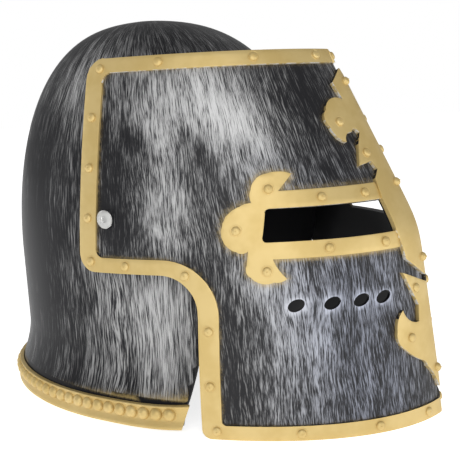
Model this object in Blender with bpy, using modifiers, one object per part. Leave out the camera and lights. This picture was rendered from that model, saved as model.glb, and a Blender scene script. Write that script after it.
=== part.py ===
"""A medieval helmet: a rounded skull with a beaded nape band, and a pointed visor that lifts on two rivets.

+Z is up, the face looks along -Y and the wearer's right is -X. Sizes are in millimetres and the meshes are
in metres. Sizes along Y are measured from the hip line, where the sides of the visor stop curving. The
helmet is then slid along Y so that it stands centred on the origin. The visor and all that sits on it is
laid out on a flat sheet first: s is the way round from the keel, z the height, and the third number is how
far it stands off the visor's outer face. The sheet is then wrapped round the visor.
"""

import math

import bmesh
import bpy
import numpy as np
from mathutils import Matrix, Vector

MM = 0.001

# Gaps and walls
GAP = 0.3
PLATE = 2.5
TRIM = 1.4
SPINE_TRIM = 2.4

# Skull: wall and dome
SKULL_HALF_WIDTH = 95.4
SKULL_BACK = 143.0
SKULL_FRONT = 95.0
CHEEK_FULLNESS = 1.0
SKULL_MIDDLE = -13.5
WALL_SHARE = 101.0 / 240.0
DOME_SHARE = 168.5 / 240.0
DOME_SIDE_POWER = 2.8
DOME_BACK_POWER = 2.7
DOME_FRONT_POWER = 2.2
DOME_TOP_POWER = 2.0
DOME_DRIFT = 18.0
DOME_DRIFT_POWER = 1.8
BROW_SWELL = 28.0
SKULL_WALL = 2.5

# Visor: its height, and its plan section, which changes with height
VISOR_HEIGHT = 240.0
WALL_HEIGHT = WALL_SHARE * VISOR_HEIGHT
DOME_RISE = DOME_SHARE * VISOR_HEIGHT
FOOT_REACH = 207.0
LOWER_LEAN = 0.13
UPPER_LEAN = 0.51
BEND_HEIGHT = 124.0
BEND_SOFTNESS = 5.0
FOOT_ROOM = 12.6
TOP_TUCK = 15.4
FOOT_HALF_WIDTH = SKULL_HALF_WIDTH + FOOT_ROOM
TOP_HALF_WIDTH = SKULL_HALF_WIDTH - TOP_TUCK
WAIST_FULLNESS = 9.0
KEEL_SHARPNESS = 14.0
SECTION_POWER = 1.95

# Visor: its edge seen from the side
REAR_EDGE = 0.0
THROAT_EDGE = -82.5
SHOULDER_HEIGHT = 104.5
THROAT_RADIUS = 24.0
TOP_CORNER_RADIUS = 13.0
SHOULDER_CORNER_RADIUS = 12.0
FOOT_CORNER_RADIUS = 6.0

# Border, as wide as this along the upright edges and along the level ones
BORDER_SIDE = 12.5
BORDER_LEVEL = 9.5
BORDER_INNER_RADIUS = 6.0

# Eye slots, with a bar above and below, and a fleur at the rear end
EYE_LEVEL = 134.0
SLOT_HEIGHT = 20.0
SLOT_REAR = -119.0
SLOT_CORNER = 2.5
BAR_HEIGHT = 10.0
SIDE_FLEUR_REACH = 25.0
SIDE_FLEUR_HALF_HEIGHT = 32.0

# Spine over the keel, its fleur above, and the fleur below it
SPINE_HALF_WIDTH = 20.0
SPINE_POINT_DROP = 21.5
UPPER_FLEUR_HALF_WIDTH = 32.0
UPPER_FLEUR_CLEARANCE = 4.5
LOWER_FLEUR_HALF_WIDTH = 32.0
LOWER_FLEUR_GAP = 4.5
LOWER_FLEUR_CLEARANCE = 8.0

# Breath holes: their height, and how far round from the keel each one is
BREATH_LEVEL = 85.0
BREATH_PLACES = (37.0, 52.5, 71.5, 94.0)
BREATH_LENGTH = 11.5
BREATH_HEIGHT = 7.0
BREATH_TILT = 24.0

# Rivet heads
RIVET_RADIUS = 2.9
RIVET_RISE = 1.7
HEAD_SINK = 0.9
SHOULDER_RIVET_BACK = 28.5

# Skull: its flare down to the nape band
FLARE = 8.0
FLARE_TOP = 46.0

# Face opening, seen from the side: how far each corner lies ahead of the skull's middle, as a share of the
# skull's front, its height as a share of the eye level, and how far the side after it bows, as a share of
# that too. The edge leans ahead up to the eyes, and the opening's top is a brow above them.
FACE_OPENING = (
    (0.515, -0.15, 0.0),
    (0.555, 0.0, 0.0),
    (0.600, 0.16, 0.0),
    (0.641, 0.35, 0.0),
    (0.690, 0.60, 0.0),
    (0.825, 0.85, 0.0),
    (0.830, 1.08, 0.0),
    (0.780, 1.31, 0.0),
    (2.200, 1.31, 0.0),
    (2.200, -0.15, 0.0),
)

# Nape band
NAPE_HEIGHT = 15.5
NAPE_THICKNESS = 2.6
NAPE_SLACK = 0.25
NAPE_LIP_HEIGHT = 3.2
NAPE_LIP_REACH = 1.5
NAPE_END_ANGLE = 24.0
NAPE_END_SLANT = 0.033
CHEEK_LIFT = 4.5
BEAD_PITCH = 9.35
BEAD_RADIUS = 4.2
BEAD_RISE = 2.9
BEAD_LEVEL = 9.8

# Pivot rivets
PIVOT_Y = -20.0
PIVOT_Z = 138.8
PIVOT_HEAD_RADIUS = 6.0
PIVOT_HEAD_THICKNESS = 1.8
PIVOT_SHANK_RADIUS = 2.4
PIVOT_FOOT_RADIUS = 5.0
PIVOT_FOOT_THICKNESS = 1.4

# Fineness of the meshes
SHEET_STEP = 20.0
BEND_ROWS = (-9.0, 0.0, 9.0)
ARC_STEP = 36.0
SECTION_STEPS = 240
SKULL_SIDES = 32
DOME_RINGS = 8
WALL_RINGS = 4
NAPE_STATIONS = 40
RIVET_SIDES = 8
BEAD_SIDES = 8
TURN_STEPS = 12

# The foot of the spine's fleur is the upper bar, and the tip of its point hangs below the lower bar
BAR_TOP = EYE_LEVEL + SLOT_HEIGHT / 2 + BAR_HEIGHT
BAR_FOOT = EYE_LEVEL - SLOT_HEIGHT / 2 - BAR_HEIGHT
NAPE_INSIDE = FLARE + GAP + NAPE_SLACK
NAPE_OUTSET = NAPE_INSIDE + NAPE_THICKNESS
REAR_MOST = SKULL_MIDDLE + SKULL_BACK + NAPE_OUTSET + NAPE_LIP_REACH
FRONT_MOST = -FOOT_REACH - GAP - TRIM
SLIDE = -(REAR_MOST + FRONT_MOST) / 2

# Rear fleur, as shares of its reach behind the slot and of its half height, with each arc's bow in
# shares of the reach. It runs from the upper bar round the back to the lower bar.
SIDE_FLEUR = (
    (-0.24, 0.62, 0.0),
    (-0.46, 0.96, 0.05),
    (0.04, 0.99, 0.10),
    (0.33, 0.70, 0.03),
    (0.31, 0.46, 0.02),
    (0.55, 0.40, 0.105),
    (0.92, 0.00, 0.125),
    (0.56, -0.44, 0.05),
    (0.30, -0.43, 0.0),
    (0.33, -0.70, 0.06),
    (0.22, -0.93, 0.09),
    (-0.28, -1.03, 0.04),
    (-0.55, -0.97, -0.03),
    (-0.24, -0.62, 0.0),
)

# Upper fleur, as shares of its half width and of its height above the upper bar, with each arc's bow as
# a share of the half width. It runs from the tip down the right side.
UPPER_FLEUR = (
    (0.00, 1.00, 0.0),
    (0.40, 0.875, 0.0),
    (0.36, 0.72, 0.12),
    (0.90, 0.64, 0.07),
    (1.00, 0.50, 0.07),
    (0.80, 0.355, -0.06),
    (0.56, 0.435, -0.07),
    (0.36, 0.425, 0.0),
    (0.54, 0.33, 0.0),
    (0.78, 0.15, 0.0),
    (0.43, 0.175, 0.0),
    (0.37, 0.105, 0.0),
    (0.55, 0.03, 0.0),
)

# Lower fleur, as shares of its half width and of its height, from the keel down the right side
LOWER_FLEUR = (
    (0.00, 0.88, 0.0),
    (0.67, 1.00, 0.0),
    (0.35, 0.72, 0.0),
    (0.40, 0.59, -0.10),
    (0.80, 0.71, 0.05),
    (1.00, 0.56, 0.07),
    (0.88, 0.40, 0.03),
    (0.41, 0.265, -0.02),
    (0.32, 0.21, -0.04),
    (0.00, 0.00, 0.0),
)


def clear_scene():
    for old in list(bpy.data.objects):
        bpy.data.objects.remove(old, do_unlink=True)


def collection(name):
    new = bpy.data.collections.new(name)
    bpy.context.scene.collection.children.link(new)
    return new


def material(name, colour, roughness, metallic=0.0, alpha=1.0):
    new = bpy.data.materials.new(name)
    new.use_nodes = True
    shader = new.node_tree.nodes["Principled BSDF"]
    shader.inputs["Base Color"].default_value = (*colour, 1.0)
    shader.inputs["Roughness"].default_value = roughness
    shader.inputs["Metallic"].default_value = metallic
    shader.inputs["Alpha"].default_value = alpha
    return new


def add_object(name, bm, group, finish, smooth_angle=35.0):
    """Makes one named object from a bmesh in metres, shaded smooth up to an angle."""
    mesh = bpy.data.meshes.new(name)
    bm.to_mesh(mesh)
    bm.free()
    mesh.shade_smooth()
    mesh.set_sharp_from_angle(angle=math.radians(smooth_angle))
    if finish:
        mesh.materials.append(finish)
    new = bpy.data.objects.new(name, mesh)
    group.objects.link(new)
    return new


def make_cutter(tool):
    tool.hide_render = True
    tool.display_type = "WIRE"


def boolean(target, tool, operation):
    make_cutter(tool)
    cut = target.modifiers.new(tool.name, "BOOLEAN")
    cut.operation = operation
    cut.solver = "EXACT"
    cut.object = tool


# The visor's surface


def keel_reach(z):
    """How far the keel stands ahead of the hip line: two straight leans with a soft bend between."""
    above = BEND_SOFTNESS * math.log1p(math.exp((z - BEND_HEIGHT) / BEND_SOFTNESS))
    return FOOT_REACH - LOWER_LEAN * z - (UPPER_LEAN - LOWER_LEAN) * above


def half_width(z):
    share = z / VISOR_HEIGHT
    straight = FOOT_HALF_WIDTH + (TOP_HALF_WIDTH - FOOT_HALF_WIDTH) * share
    return straight + WAIST_FULLNESS * 4 * share * (1 - share)


SECTIONS = {}


def section(z):
    """The right half of the visor's plan at one height: x, y and the way round from the keel."""
    if z not in SECTIONS:
        power = 2 / SECTION_POWER
        across = half_width(z) + KEEL_SHARPNESS
        start = math.asin((KEEL_SHARPNESS / across) ** (1 / power))
        along = keel_reach(z) / math.cos(start) ** power
        turn = np.linspace(start, math.pi / 2, SECTION_STEPS)
        x = -(across * np.sin(turn) ** power - KEEL_SHARPNESS)
        y = -along * np.clip(np.cos(turn), 0, 1) ** power
        x = np.append(x, x[-1])
        y = np.append(y, VISOR_HEIGHT)
        way = np.append(0, np.cumsum(np.hypot(np.diff(x), np.diff(y))))
        SECTIONS[z] = (x, y, way)
    return SECTIONS[z]


def visor_point(s, z):
    x, y, way = section(z)
    return Vector((float(np.interp(s, way, x)), float(np.interp(s, way, y)), z))


def way_round(y, z):
    """How far round from the keel the visor reaches a given place along Y."""
    _, ys, way = section(z)
    return float(np.interp(y, ys, way))


def wrap(s, z, stand_off):
    """A point of the flat sheet, placed on the visor or off it along its normal."""
    near = max(s, 1.0)
    round_it = visor_point(near + 0.5, z) - visor_point(near - 0.5, z)
    up_it = visor_point(near, z + 0.5) - visor_point(near, z - 0.5)
    normal = up_it.cross(round_it).normalized()
    if normal.y > 0 and normal.x > 0:
        normal.negate()
    if s < 0.001:
        mitre = Vector((0, normal.y, normal.z))
        return Vector((0, -keel_reach(z), z)) + mitre * (stand_off / mitre.length_squared)
    return visor_point(s, z) + normal * stand_off


def placed(point):
    """From the helmet's own millimetres to metres, centred on the origin."""
    return Vector((point.x, point.y + SLIDE, point.z)) * MM


# Outlines


def bowed(points):
    """Turns corners with bows into a plain outline. A bow is how far the next side swells to its left."""
    outline = []
    for here, there in zip(points, points[1:] + points[:1]):
        start = Vector(here[:2])
        chord = Vector(there[:2]) - start
        outline.append(tuple(start))
        bow = here[2]
        if not bow:
            continue
        half = chord.length / 2
        spread = 2 * math.atan(abs(bow) / half)
        radius = half / math.sin(spread)
        along = chord.normalized()
        across = Vector((-along.y, along.x)) * math.copysign(1, bow)
        steps = max(2, math.ceil(math.degrees(2 * spread) / ARC_STEP))
        for step in range(1, steps):
            turn = -spread + 2 * spread * step / steps
            lift = radius * (math.cos(turn) - math.cos(spread))
            place = start + chord / 2 + along * radius * math.sin(turn) + across * lift
            outline.append(tuple(place))
    return outline


def corner(x, y, before, after, radius):
    """A rounded right-angled corner. before and after are the directions of travel, as unit steps."""
    start = (x - before[0] * radius, y - before[1] * radius)
    end = (x + after[0] * radius, y + after[1] * radius)
    turn = before[0] * after[1] - before[1] * after[0]
    bow = -turn * radius * (math.sqrt(2) - 1) / math.sqrt(2)
    return [(*start, bow), (*end, 0.0)]


def to_sheet(path):
    """Carries an open path drawn in the side view, as y and z, to the flat sheet."""
    flat = []
    for here, there in zip(path, path[1:]):
        length = math.dist(here, there)
        steps = max(1, math.ceil(length / SHEET_STEP))
        for step in range(steps):
            share = step / steps
            y = here[0] + (there[0] - here[0]) * share
            z = here[1] + (there[1] - here[1]) * share
            flat.append((way_round(y, z), z))
    flat.append((way_round(*path[-1]), path[-1][1]))
    return flat


def edge_path(inset_side, inset_level, shrink):
    """The visor's edge from the keel's foot round the back to the keel's top, on the flat sheet.

    The insets move it inwards, for the border's inner edge, and shrink is what that takes off or adds
    to the corner radii.
    """
    rear = REAR_EDGE - inset_side
    throat = THROAT_EDGE - inset_side
    foot = inset_level
    shoulder = SHOULDER_HEIGHT + inset_level
    top = VISOR_HEIGHT - inset_level
    inner = BORDER_INNER_RADIUS
    up, down, back, ahead = (0, 1), (0, -1), (1, 0), (-1, 0)
    points = [(-keel_reach(foot), foot, 0.0)]
    points += corner(throat, foot, back, up, inner / 2 if shrink else FOOT_CORNER_RADIUS)
    points += corner(throat, shoulder, up, back, THROAT_RADIUS + shrink)
    points += corner(rear, shoulder, back, up, inner if shrink else SHOULDER_CORNER_RADIUS)
    points += corner(rear, top, up, ahead, inner if shrink else TOP_CORNER_RADIUS)
    points += [(-keel_reach(top), top, 0.0)]
    return to_sheet(bowed(points))


def ellipse(s, z, length, height, tilt, count=12):
    spot = []
    lean = math.radians(tilt)
    for step in range(count):
        turn = 2 * math.pi * step / count
        along = length / 2 * math.cos(turn)
        over = height / 2 * math.sin(turn)
        spot.append((s + along * math.cos(lean) - over * math.sin(lean),
                     z + along * math.sin(lean) + over * math.cos(lean)))
    return spot


# Sheets wrapped round the visor


def slab(outline, thickness):
    """A flat slab in millimetres, from a filled 2D curve."""
    curve = bpy.data.curves.new("blank", "CURVE")
    curve.dimensions = "2D"
    curve.fill_mode = "BOTH"
    curve.extrude = thickness / 2
    spline = curve.splines.new("POLY")
    spline.points.add(len(outline) - 1)
    for point, place in zip(spline.points, outline):
        point.co = (*place, 0.0, 1.0)
    spline.use_cyclic_u = True
    blank = bpy.data.objects.new("blank", curve)
    bpy.context.scene.collection.objects.link(blank)
    evaluated = blank.evaluated_get(bpy.context.evaluated_depsgraph_get())
    mesh = bpy.data.meshes.new_from_object(evaluated)
    bm = bmesh.new()
    bm.from_mesh(mesh)
    bpy.data.objects.remove(blank)
    bpy.data.curves.remove(curve)
    bpy.data.meshes.remove(mesh)
    bmesh.ops.remove_doubles(bm, verts=bm.verts, dist=0.01)
    bmesh.ops.dissolve_limit(bm, angle_limit=math.radians(0.1), verts=bm.verts, edges=bm.edges)
    bmesh.ops.recalc_face_normals(bm, faces=bm.faces)
    return bm


def score(bm, axis, places):
    """Cuts the slab's faces along straight lines, so that it can bend there."""
    for place in places:
        at = Vector((0, 0, 0))
        at[axis] = place
        along = Vector((0, 0, 0))
        along[axis] = 1
        everything = bm.verts[:] + bm.edges[:] + bm.faces[:]
        bmesh.ops.bisect_plane(bm, geom=everything, dist=0.02, plane_co=at, plane_no=along)


def wrapped_sheet(outline, inner, outer, open_keel):
    """A slab wrapped round the visor's right side, from one stand-off to another.

    Edges on the visor's foot or top are trimmed level, so that the foot rests flat.
    """
    bm = slab(outline, outer - inner)
    widest = max(vertex.co.x for vertex in bm.verts)
    highest = max(vertex.co.y for vertex in bm.verts)
    score(bm, 0, np.arange(SHEET_STEP / 2, widest, SHEET_STEP))
    rows = [place for place in np.arange(SHEET_STEP, highest, SHEET_STEP)
            if abs(place - BEND_HEIGHT) > SHEET_STEP]
    score(bm, 1, rows + [BEND_HEIGHT + row for row in BEND_ROWS])
    if open_keel:
        walls = [face for face in bm.faces if all(vertex.co.x < 0.01 for vertex in face.verts)]
        bmesh.ops.delete(bm, geom=walls, context="FACES")
    middle = (inner + outer) / 2
    for vertex in bm.verts:
        s, z, level = vertex.co
        if s < 0.01:
            s = 0.0
        point = wrap(s, z, middle + level)
        if z < 0.01 or z > VISOR_HEIGHT - 0.01:
            point.z = z
        vertex.co = placed(point)
    bmesh.ops.reverse_faces(bm, faces=bm.faces)
    return bm


def mirror(target):
    twin = target.modifiers.new("both sides", "MIRROR")
    twin.use_mirror_merge = True
    twin.merge_threshold = 0.00005


def dots(name, places, lift, radius, rise, group):
    """Low round heads on the visor's right side, joined in one mesh, each sunk a little into the trim."""
    bm = bmesh.new()
    for s, z in places:
        seat = wrap(s, z, lift - HEAD_SINK)
        out = (wrap(s, z, lift + 1) - seat).normalized()
        turn = Vector((0, 0, 1)).rotation_difference(out).to_matrix().to_4x4()
        size = Matrix.Diagonal((radius * MM, radius * MM, (rise + HEAD_SINK) * MM, 1))
        add_head(bm, RIVET_SIDES, Matrix.Translation(placed(seat)) @ turn @ size)
    return add_object(name, bm, group, None)


def add_head(bm, sides, place):
    """Half of a low sphere with a flat foot, standing on the origin before it is placed."""
    made = bmesh.ops.create_uvsphere(bm, u_segments=sides, v_segments=4, radius=1.0)["verts"]
    under = [vertex for vertex in made if vertex.co.z < -0.01]
    bmesh.ops.delete(bm, geom=under, context="VERTS")
    kept = [vertex for vertex in made if vertex.is_valid]
    rim = [edge for edge in bm.edges if edge.is_boundary and edge.verts[0] in kept]
    bmesh.ops.contextual_create(bm, geom=rim)
    bmesh.ops.transform(bm, matrix=place, verts=kept)


# The pieces


def opening_outlines():
    """The eye slot and the breath holes, on the flat sheet."""
    half_slot = SLOT_HEIGHT / 2
    slot = []
    rear = corner(SLOT_REAR, EYE_LEVEL + half_slot, (1, 0), (0, -1), SLOT_CORNER)
    rear += corner(SLOT_REAR, EYE_LEVEL - half_slot, (0, -1), (-1, 0), SLOT_CORNER)
    for y, z in bowed(rear):
        slot.append((way_round(y, z), z))
    slot += [(SPINE_HALF_WIDTH + GAP, EYE_LEVEL - half_slot), (SPINE_HALF_WIDTH + GAP, EYE_LEVEL + half_slot)]
    holes = [ellipse(s, BREATH_LEVEL, BREATH_LENGTH, BREATH_HEIGHT, -BREATH_TILT) for s in BREATH_PLACES]
    return [slot, *holes]


def make_visor(group, cutters, bore, finish):
    bm = wrapped_sheet(edge_path(0, 0, 0), -PLATE, 0, True)
    visor = add_object("visor", bm, group, finish, 40)
    mirror(visor)
    holes = bmesh.new()
    for outline in opening_outlines():
        cut = wrapped_sheet(outline, -2 * PLATE, PLATE, False)
        mesh = bpy.data.meshes.new("cut")
        cut.to_mesh(mesh)
        cut.free()
        holes.from_mesh(mesh)
        bpy.data.meshes.remove(mesh)
    openings = add_object("visor_openings", holes, cutters, None)
    mirror(openings)
    boolean(visor, openings, "DIFFERENCE")
    boolean(visor, bore, "DIFFERENCE")
    return visor


def border_rivets():
    """Rivet places on the border, given in the side view from its edges and the visor's length."""
    side = BORDER_SIDE / 2
    level = BORDER_LEVEL / 2
    top = VISOR_HEIGHT - level
    rear = REAR_EDGE - side
    throat = THROAT_EDGE - side
    reach = keel_reach(top) + rear
    foot_reach = keel_reach(level) + throat
    upright = VISOR_HEIGHT - SHOULDER_HEIGHT
    spots = [(rear - 4, top - 2), (rear - 0.345 * reach, top), (rear - 0.755 * reach, top)]
    spots += [(rear, SHOULDER_HEIGHT + share * upright) for share in (0.725, 0.49, 0.255)]
    spots += [(rear - 2.5, SHOULDER_HEIGHT + level + 2)]
    spots += [(rear - SHOULDER_RIVET_BACK, SHOULDER_HEIGHT + level)]
    spots += [(throat + 14, SHOULDER_HEIGHT)]
    spots += [(throat, 0.67 * SHOULDER_HEIGHT), (throat, 0.335 * SHOULDER_HEIGHT)]
    spots += [(throat - 3, level + 1)]
    spots += [(throat - share * foot_reach, level) for share in (0.44, 0.78)]
    near_keel = 14.0
    places = [(way_round(y, z), z) for y, z in spots]
    return places + [(near_keel, top), (near_keel, level)]


def border_outline():
    inner = edge_path(BORDER_SIDE, BORDER_LEVEL, (BORDER_SIDE + BORDER_LEVEL) / 2)
    return edge_path(0, 0, 0) + inner[::-1]


def make_border(group, cutters, finish):
    lift = GAP + TRIM
    bm = wrapped_sheet(border_outline(), GAP, lift, True)
    border = add_object("visor_border", bm, group, finish, 30)
    heads = dots("border_rivets", border_rivets(), lift, RIVET_RADIUS, RIVET_RISE, cutters)
    mirror(border)
    mirror(heads)
    boolean(border, heads, "UNION")
    return border


def spine_half_outline():
    tip = VISOR_HEIGHT - BORDER_LEVEL - UPPER_FLEUR_CLEARANCE
    rise = tip - BAR_TOP
    wide = UPPER_FLEUR_HALF_WIDTH
    points = [(across * wide, BAR_TOP + up * rise, bow * wide) for across, up, bow in UPPER_FLEUR]
    points += [
        (SPINE_HALF_WIDTH, EYE_LEVEL + SLOT_HEIGHT / 2, 0.0),
        (SPINE_HALF_WIDTH, EYE_LEVEL - SLOT_HEIGHT / 2, 0.0),
        (0.84 * SPINE_HALF_WIDTH, BAR_FOOT - 0.39 * SPINE_POINT_DROP, 0.0),
        (0.0, BAR_FOOT - SPINE_POINT_DROP, 0.0),
    ]
    return points


def make_spine(group, cutters, finish):
    lift = GAP + SPINE_TRIM
    bm = wrapped_sheet(bowed(spine_half_outline()), GAP, lift, True)
    spine = add_object("keel_spine", bm, group, finish, 30)
    mirror(spine)
    tip = VISOR_HEIGHT - BORDER_LEVEL - UPPER_FLEUR_CLEARANCE
    rise = tip - BAR_TOP
    wide = UPPER_FLEUR_HALF_WIDTH
    places = [(0.72 * wide, BAR_TOP + 0.53 * rise), (0.44 * wide, BAR_TOP + 0.25 * rise)]
    heads = dots("spine_rivets", places, lift, RIVET_RADIUS, RIVET_RISE, cutters)
    mirror(heads)
    boolean(spine, heads, "UNION")
    keel_places = [BAR_TOP + 0.88 * rise, BAR_TOP - 0.22 * BAR_HEIGHT, BAR_FOOT - 0.46 * SPINE_POINT_DROP]
    places = [(0.0, z) for z in keel_places]
    studs = dots("spine_studs", places, lift, RIVET_RADIUS, RIVET_RISE + 0.8, cutters)
    boolean(spine, studs, "UNION")
    return spine


def make_lower_fleur(group, cutters, finish):
    lift = GAP + SPINE_TRIM
    foot = BORDER_LEVEL + LOWER_FLEUR_CLEARANCE
    keel_top = BAR_FOOT - SPINE_POINT_DROP - LOWER_FLEUR_GAP
    rise = (keel_top - foot) / LOWER_FLEUR[0][1]
    wide = LOWER_FLEUR_HALF_WIDTH
    points = [(across * wide, foot + up * rise, bow * wide) for across, up, bow in LOWER_FLEUR]
    bm = wrapped_sheet(bowed(points), GAP, lift, True)
    fleur = add_object("lower_fleur", bm, group, finish, 30)
    mirror(fleur)
    places = [(0.36 * wide, foot + 0.86 * rise), (0.67 * wide, foot + 0.48 * rise)]
    heads = dots("fleur_rivets", places, lift, RIVET_RADIUS, RIVET_RISE, cutters)
    mirror(heads)
    boolean(fleur, heads, "UNION")
    studs = dots("fleur_stud", [(0.0, foot + 0.16 * rise)], lift, RIVET_RADIUS, RIVET_RISE + 0.8, cutters)
    boolean(fleur, studs, "UNION")
    return fleur


def cross_outline():
    """One bar above the slot and one below, joined behind it by the rear fleur."""
    half_slot = SLOT_HEIGHT / 2
    front = SPINE_HALF_WIDTH + GAP
    fleur = [(SLOT_REAR + back * SIDE_FLEUR_REACH, EYE_LEVEL - 1 + up * SIDE_FLEUR_HALF_HEIGHT,
              bow * SIDE_FLEUR_REACH) for back, up, bow in SIDE_FLEUR]
    first, last = fleur[0], fleur[-1]
    fleur[0] = (first[0], BAR_TOP, first[2])
    fleur[-1] = (last[0], BAR_FOOT, 0.0)
    closed = bowed(fleur)
    rear = [(way_round(y, z), z) for y, z in closed]
    slot = [(way_round(y, z), z) for y, z in bowed(
        corner(SLOT_REAR, EYE_LEVEL - half_slot, (1, 0), (0, 1), SLOT_CORNER)
        + corner(SLOT_REAR, EYE_LEVEL + half_slot, (0, 1), (-1, 0), SLOT_CORNER))]
    front_foot = [(front, BAR_FOOT), (front, EYE_LEVEL - half_slot)]
    front_top = [(front, EYE_LEVEL + half_slot), (front, BAR_TOP)]
    return rear + front_foot + slot + front_top


def cross_rivets():
    bar = (SLOT_HEIGHT + BAR_HEIGHT) / 2
    side = [(SLOT_REAR + 0.60 * SIDE_FLEUR_REACH, EYE_LEVEL - 2.5),
            (SLOT_REAR - 0.04 * SIDE_FLEUR_REACH, EYE_LEVEL - 1 + 0.70 * SIDE_FLEUR_HALF_HEIGHT),
            (SLOT_REAR - 0.12 * SIDE_FLEUR_REACH, EYE_LEVEL - 1 - 0.82 * SIDE_FLEUR_HALF_HEIGHT)]
    places = [(way_round(y, z), z) for y, z in side]
    length = way_round(SLOT_REAR, EYE_LEVEL) - SPINE_HALF_WIDTH
    places += [(SPINE_HALF_WIDTH + share * length, EYE_LEVEL + bar) for share in (0.12, 0.48)]
    places += [(SPINE_HALF_WIDTH + share * length, EYE_LEVEL - bar) for share in (0.12, 0.58)]
    return places


def make_cross(group, cutters, finish):
    lift = GAP + TRIM
    halves = []
    for side, sign in (("right", 1), ("left", -1)):
        bm = wrapped_sheet(cross_outline(), GAP, lift, False)
        half = add_object("cross_" + side, bm, group, finish, 30)
        heads = dots("cross_rivets_" + side, cross_rivets(), lift, RIVET_RADIUS, RIVET_RISE, cutters)
        if sign < 0:
            flip_across(half)
            flip_across(heads)
        boolean(half, heads, "UNION")
        halves.append(half)
    return halves


def flip_across(target):
    """Turns a piece of the right side into its twin on the left."""
    bm = bmesh.new()
    bm.from_mesh(target.data)
    for vertex in bm.verts:
        vertex.co.x = -vertex.co.x
    bmesh.ops.reverse_faces(bm, faces=bm.faces)
    bm.to_mesh(target.data)
    bm.free()


def flare_at(z):
    share = (FLARE_TOP - max(z, NAPE_HEIGHT)) / (FLARE_TOP - NAPE_HEIGHT)
    return FLARE * max(share, 0) ** 1.6


def girth(rise):
    """The skull's half width, its front with its fullness, its back and its middle, at a rise up the dome."""
    fall = max(math.cos(rise), 0)
    side = SKULL_HALF_WIDTH * fall ** (2 / DOME_SIDE_POWER)
    front = (SKULL_FRONT + BROW_SWELL * math.sin(rise) ** 2) * fall ** (2 / DOME_FRONT_POWER)
    back = SKULL_BACK * fall ** (2 / DOME_BACK_POWER)
    middle = SKULL_MIDDLE + DOME_DRIFT * (rise / (math.pi / 2)) ** DOME_DRIFT_POWER
    fullness = CHEEK_FULLNESS * fall ** 2
    return side, front, 2 + fullness, back, middle


def plan(turn, outset, rise):
    """A point of the skull's plan: half an ellipse behind its middle, and a shorter, fuller half before it."""
    side, front, power, back, middle = girth(rise)
    length, power = (back, 2.0) if math.sin(turn) > 0 else (front, power)
    across = math.copysign(abs(math.cos(turn)) ** (2 / power), math.cos(turn))
    along = math.copysign(abs(math.sin(turn)) ** (2 / power), math.sin(turn))
    return (side + outset) * across, middle + (length + outset) * along


def skull_half_width(y, z):
    """How far the skull's outer face stands to the side, at a place along Y and a height."""
    rise = math.asin((max(z - WALL_HEIGHT, 0) / DOME_RISE) ** (DOME_TOP_POWER / 2))
    side, front, power, back, middle = girth(rise)
    length, power = (back, 2.0) if y > middle else (front, power)
    return side * (1 - (abs(y - middle) / length) ** power) ** (1 / power)


def cheek_lift(turn):
    """How far the foot of the skull and the nape band rises towards the cheeks."""
    off_back = abs((turn + math.pi / 2) % (2 * math.pi) - math.pi)
    return CHEEK_LIFT * min(off_back / (math.pi / 2 + math.radians(NAPE_END_ANGLE)), 1.2) ** 3


def make_skull(group, cutters, bore, finish):
    """A sphere whose upper half becomes the dome and whose lower half becomes the wall."""
    bm = bmesh.new()
    rings = DOME_RINGS * 2
    bmesh.ops.create_uvsphere(bm, u_segments=SKULL_SIDES, v_segments=rings, radius=1.0)
    bmesh.ops.delete(bm, geom=[vertex for vertex in bm.verts if vertex.co.z < -0.01], context="VERTS")
    for vertex in bm.verts:
        turn = math.atan2(vertex.co.y, vertex.co.x)
        rise = math.asin(min(max(vertex.co.z, 0), 1))
        z = WALL_HEIGHT + DOME_RISE * math.sin(rise) ** (2 / DOME_TOP_POWER)
        x, y = plan(turn, 0, rise)
        vertex.co = placed(Vector((x, y, z)))
    drop_wall(bm)
    skull = add_object("skull", bm, group, finish, 40)
    wall = skull.modifiers.new("wall", "SOLIDIFY")
    wall.thickness = SKULL_WALL * MM
    wall.offset = -1
    wall.use_even_offset = True
    boolean(skull, face_opening(cutters), "DIFFERENCE")
    boolean(skull, bore, "DIFFERENCE")
    return skull


def drop_wall(bm):
    """Extrudes the dome's rim down to the foot, ring by ring, with the flare near the bottom."""
    rim = [edge for edge in bm.edges if edge.is_boundary]
    heights = [WALL_HEIGHT * (1 - step / WALL_RINGS) for step in range(1, WALL_RINGS + 1)]
    heights = sorted(set(heights + [NAPE_HEIGHT, FLARE_TOP]), reverse=True)
    for height in heights:
        made = bmesh.ops.extrude_edge_only(bm, edges=rim)["geom"]
        rim = [item for item in made if isinstance(item, bmesh.types.BMEdge)]
        for vertex in [item for item in made if isinstance(item, bmesh.types.BMVert)]:
            middle = SKULL_MIDDLE + SLIDE
            turn_y = vertex.co.y / MM - middle
            length, power = (SKULL_BACK, 2.0) if turn_y > 0 else (SKULL_FRONT, 2 + CHEEK_FULLNESS)
            outset = flare_at(vertex.co.z / MM)
            along = abs(turn_y / (length + outset)) ** (power / 2)
            across = abs(vertex.co.x / MM / (SKULL_HALF_WIDTH + outset)) ** (power / 2)
            turn = math.atan2(math.copysign(along, turn_y), math.copysign(across, vertex.co.x))
            x, y = plan(turn, flare_at(height), 0)
            vertex.co = placed(Vector((x, y, max(height, GAP + cheek_lift(turn)))))


def face_opening(cutters):
    """Everything ahead of the cheek edges and below the brow, as one block across the helmet."""
    corners = [(SKULL_MIDDLE - ahead * SKULL_FRONT, up * EYE_LEVEL, bow * EYE_LEVEL)
               for ahead, up, bow in FACE_OPENING]
    bm = slab(bowed(corners), 2.4 * SKULL_HALF_WIDTH)
    for vertex in bm.verts:
        y, z, x = vertex.co
        vertex.co = placed(Vector((x, y, z)))
    bmesh.ops.recalc_face_normals(bm, faces=bm.faces)
    return add_object("face_opening", bm, cutters, None)


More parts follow.
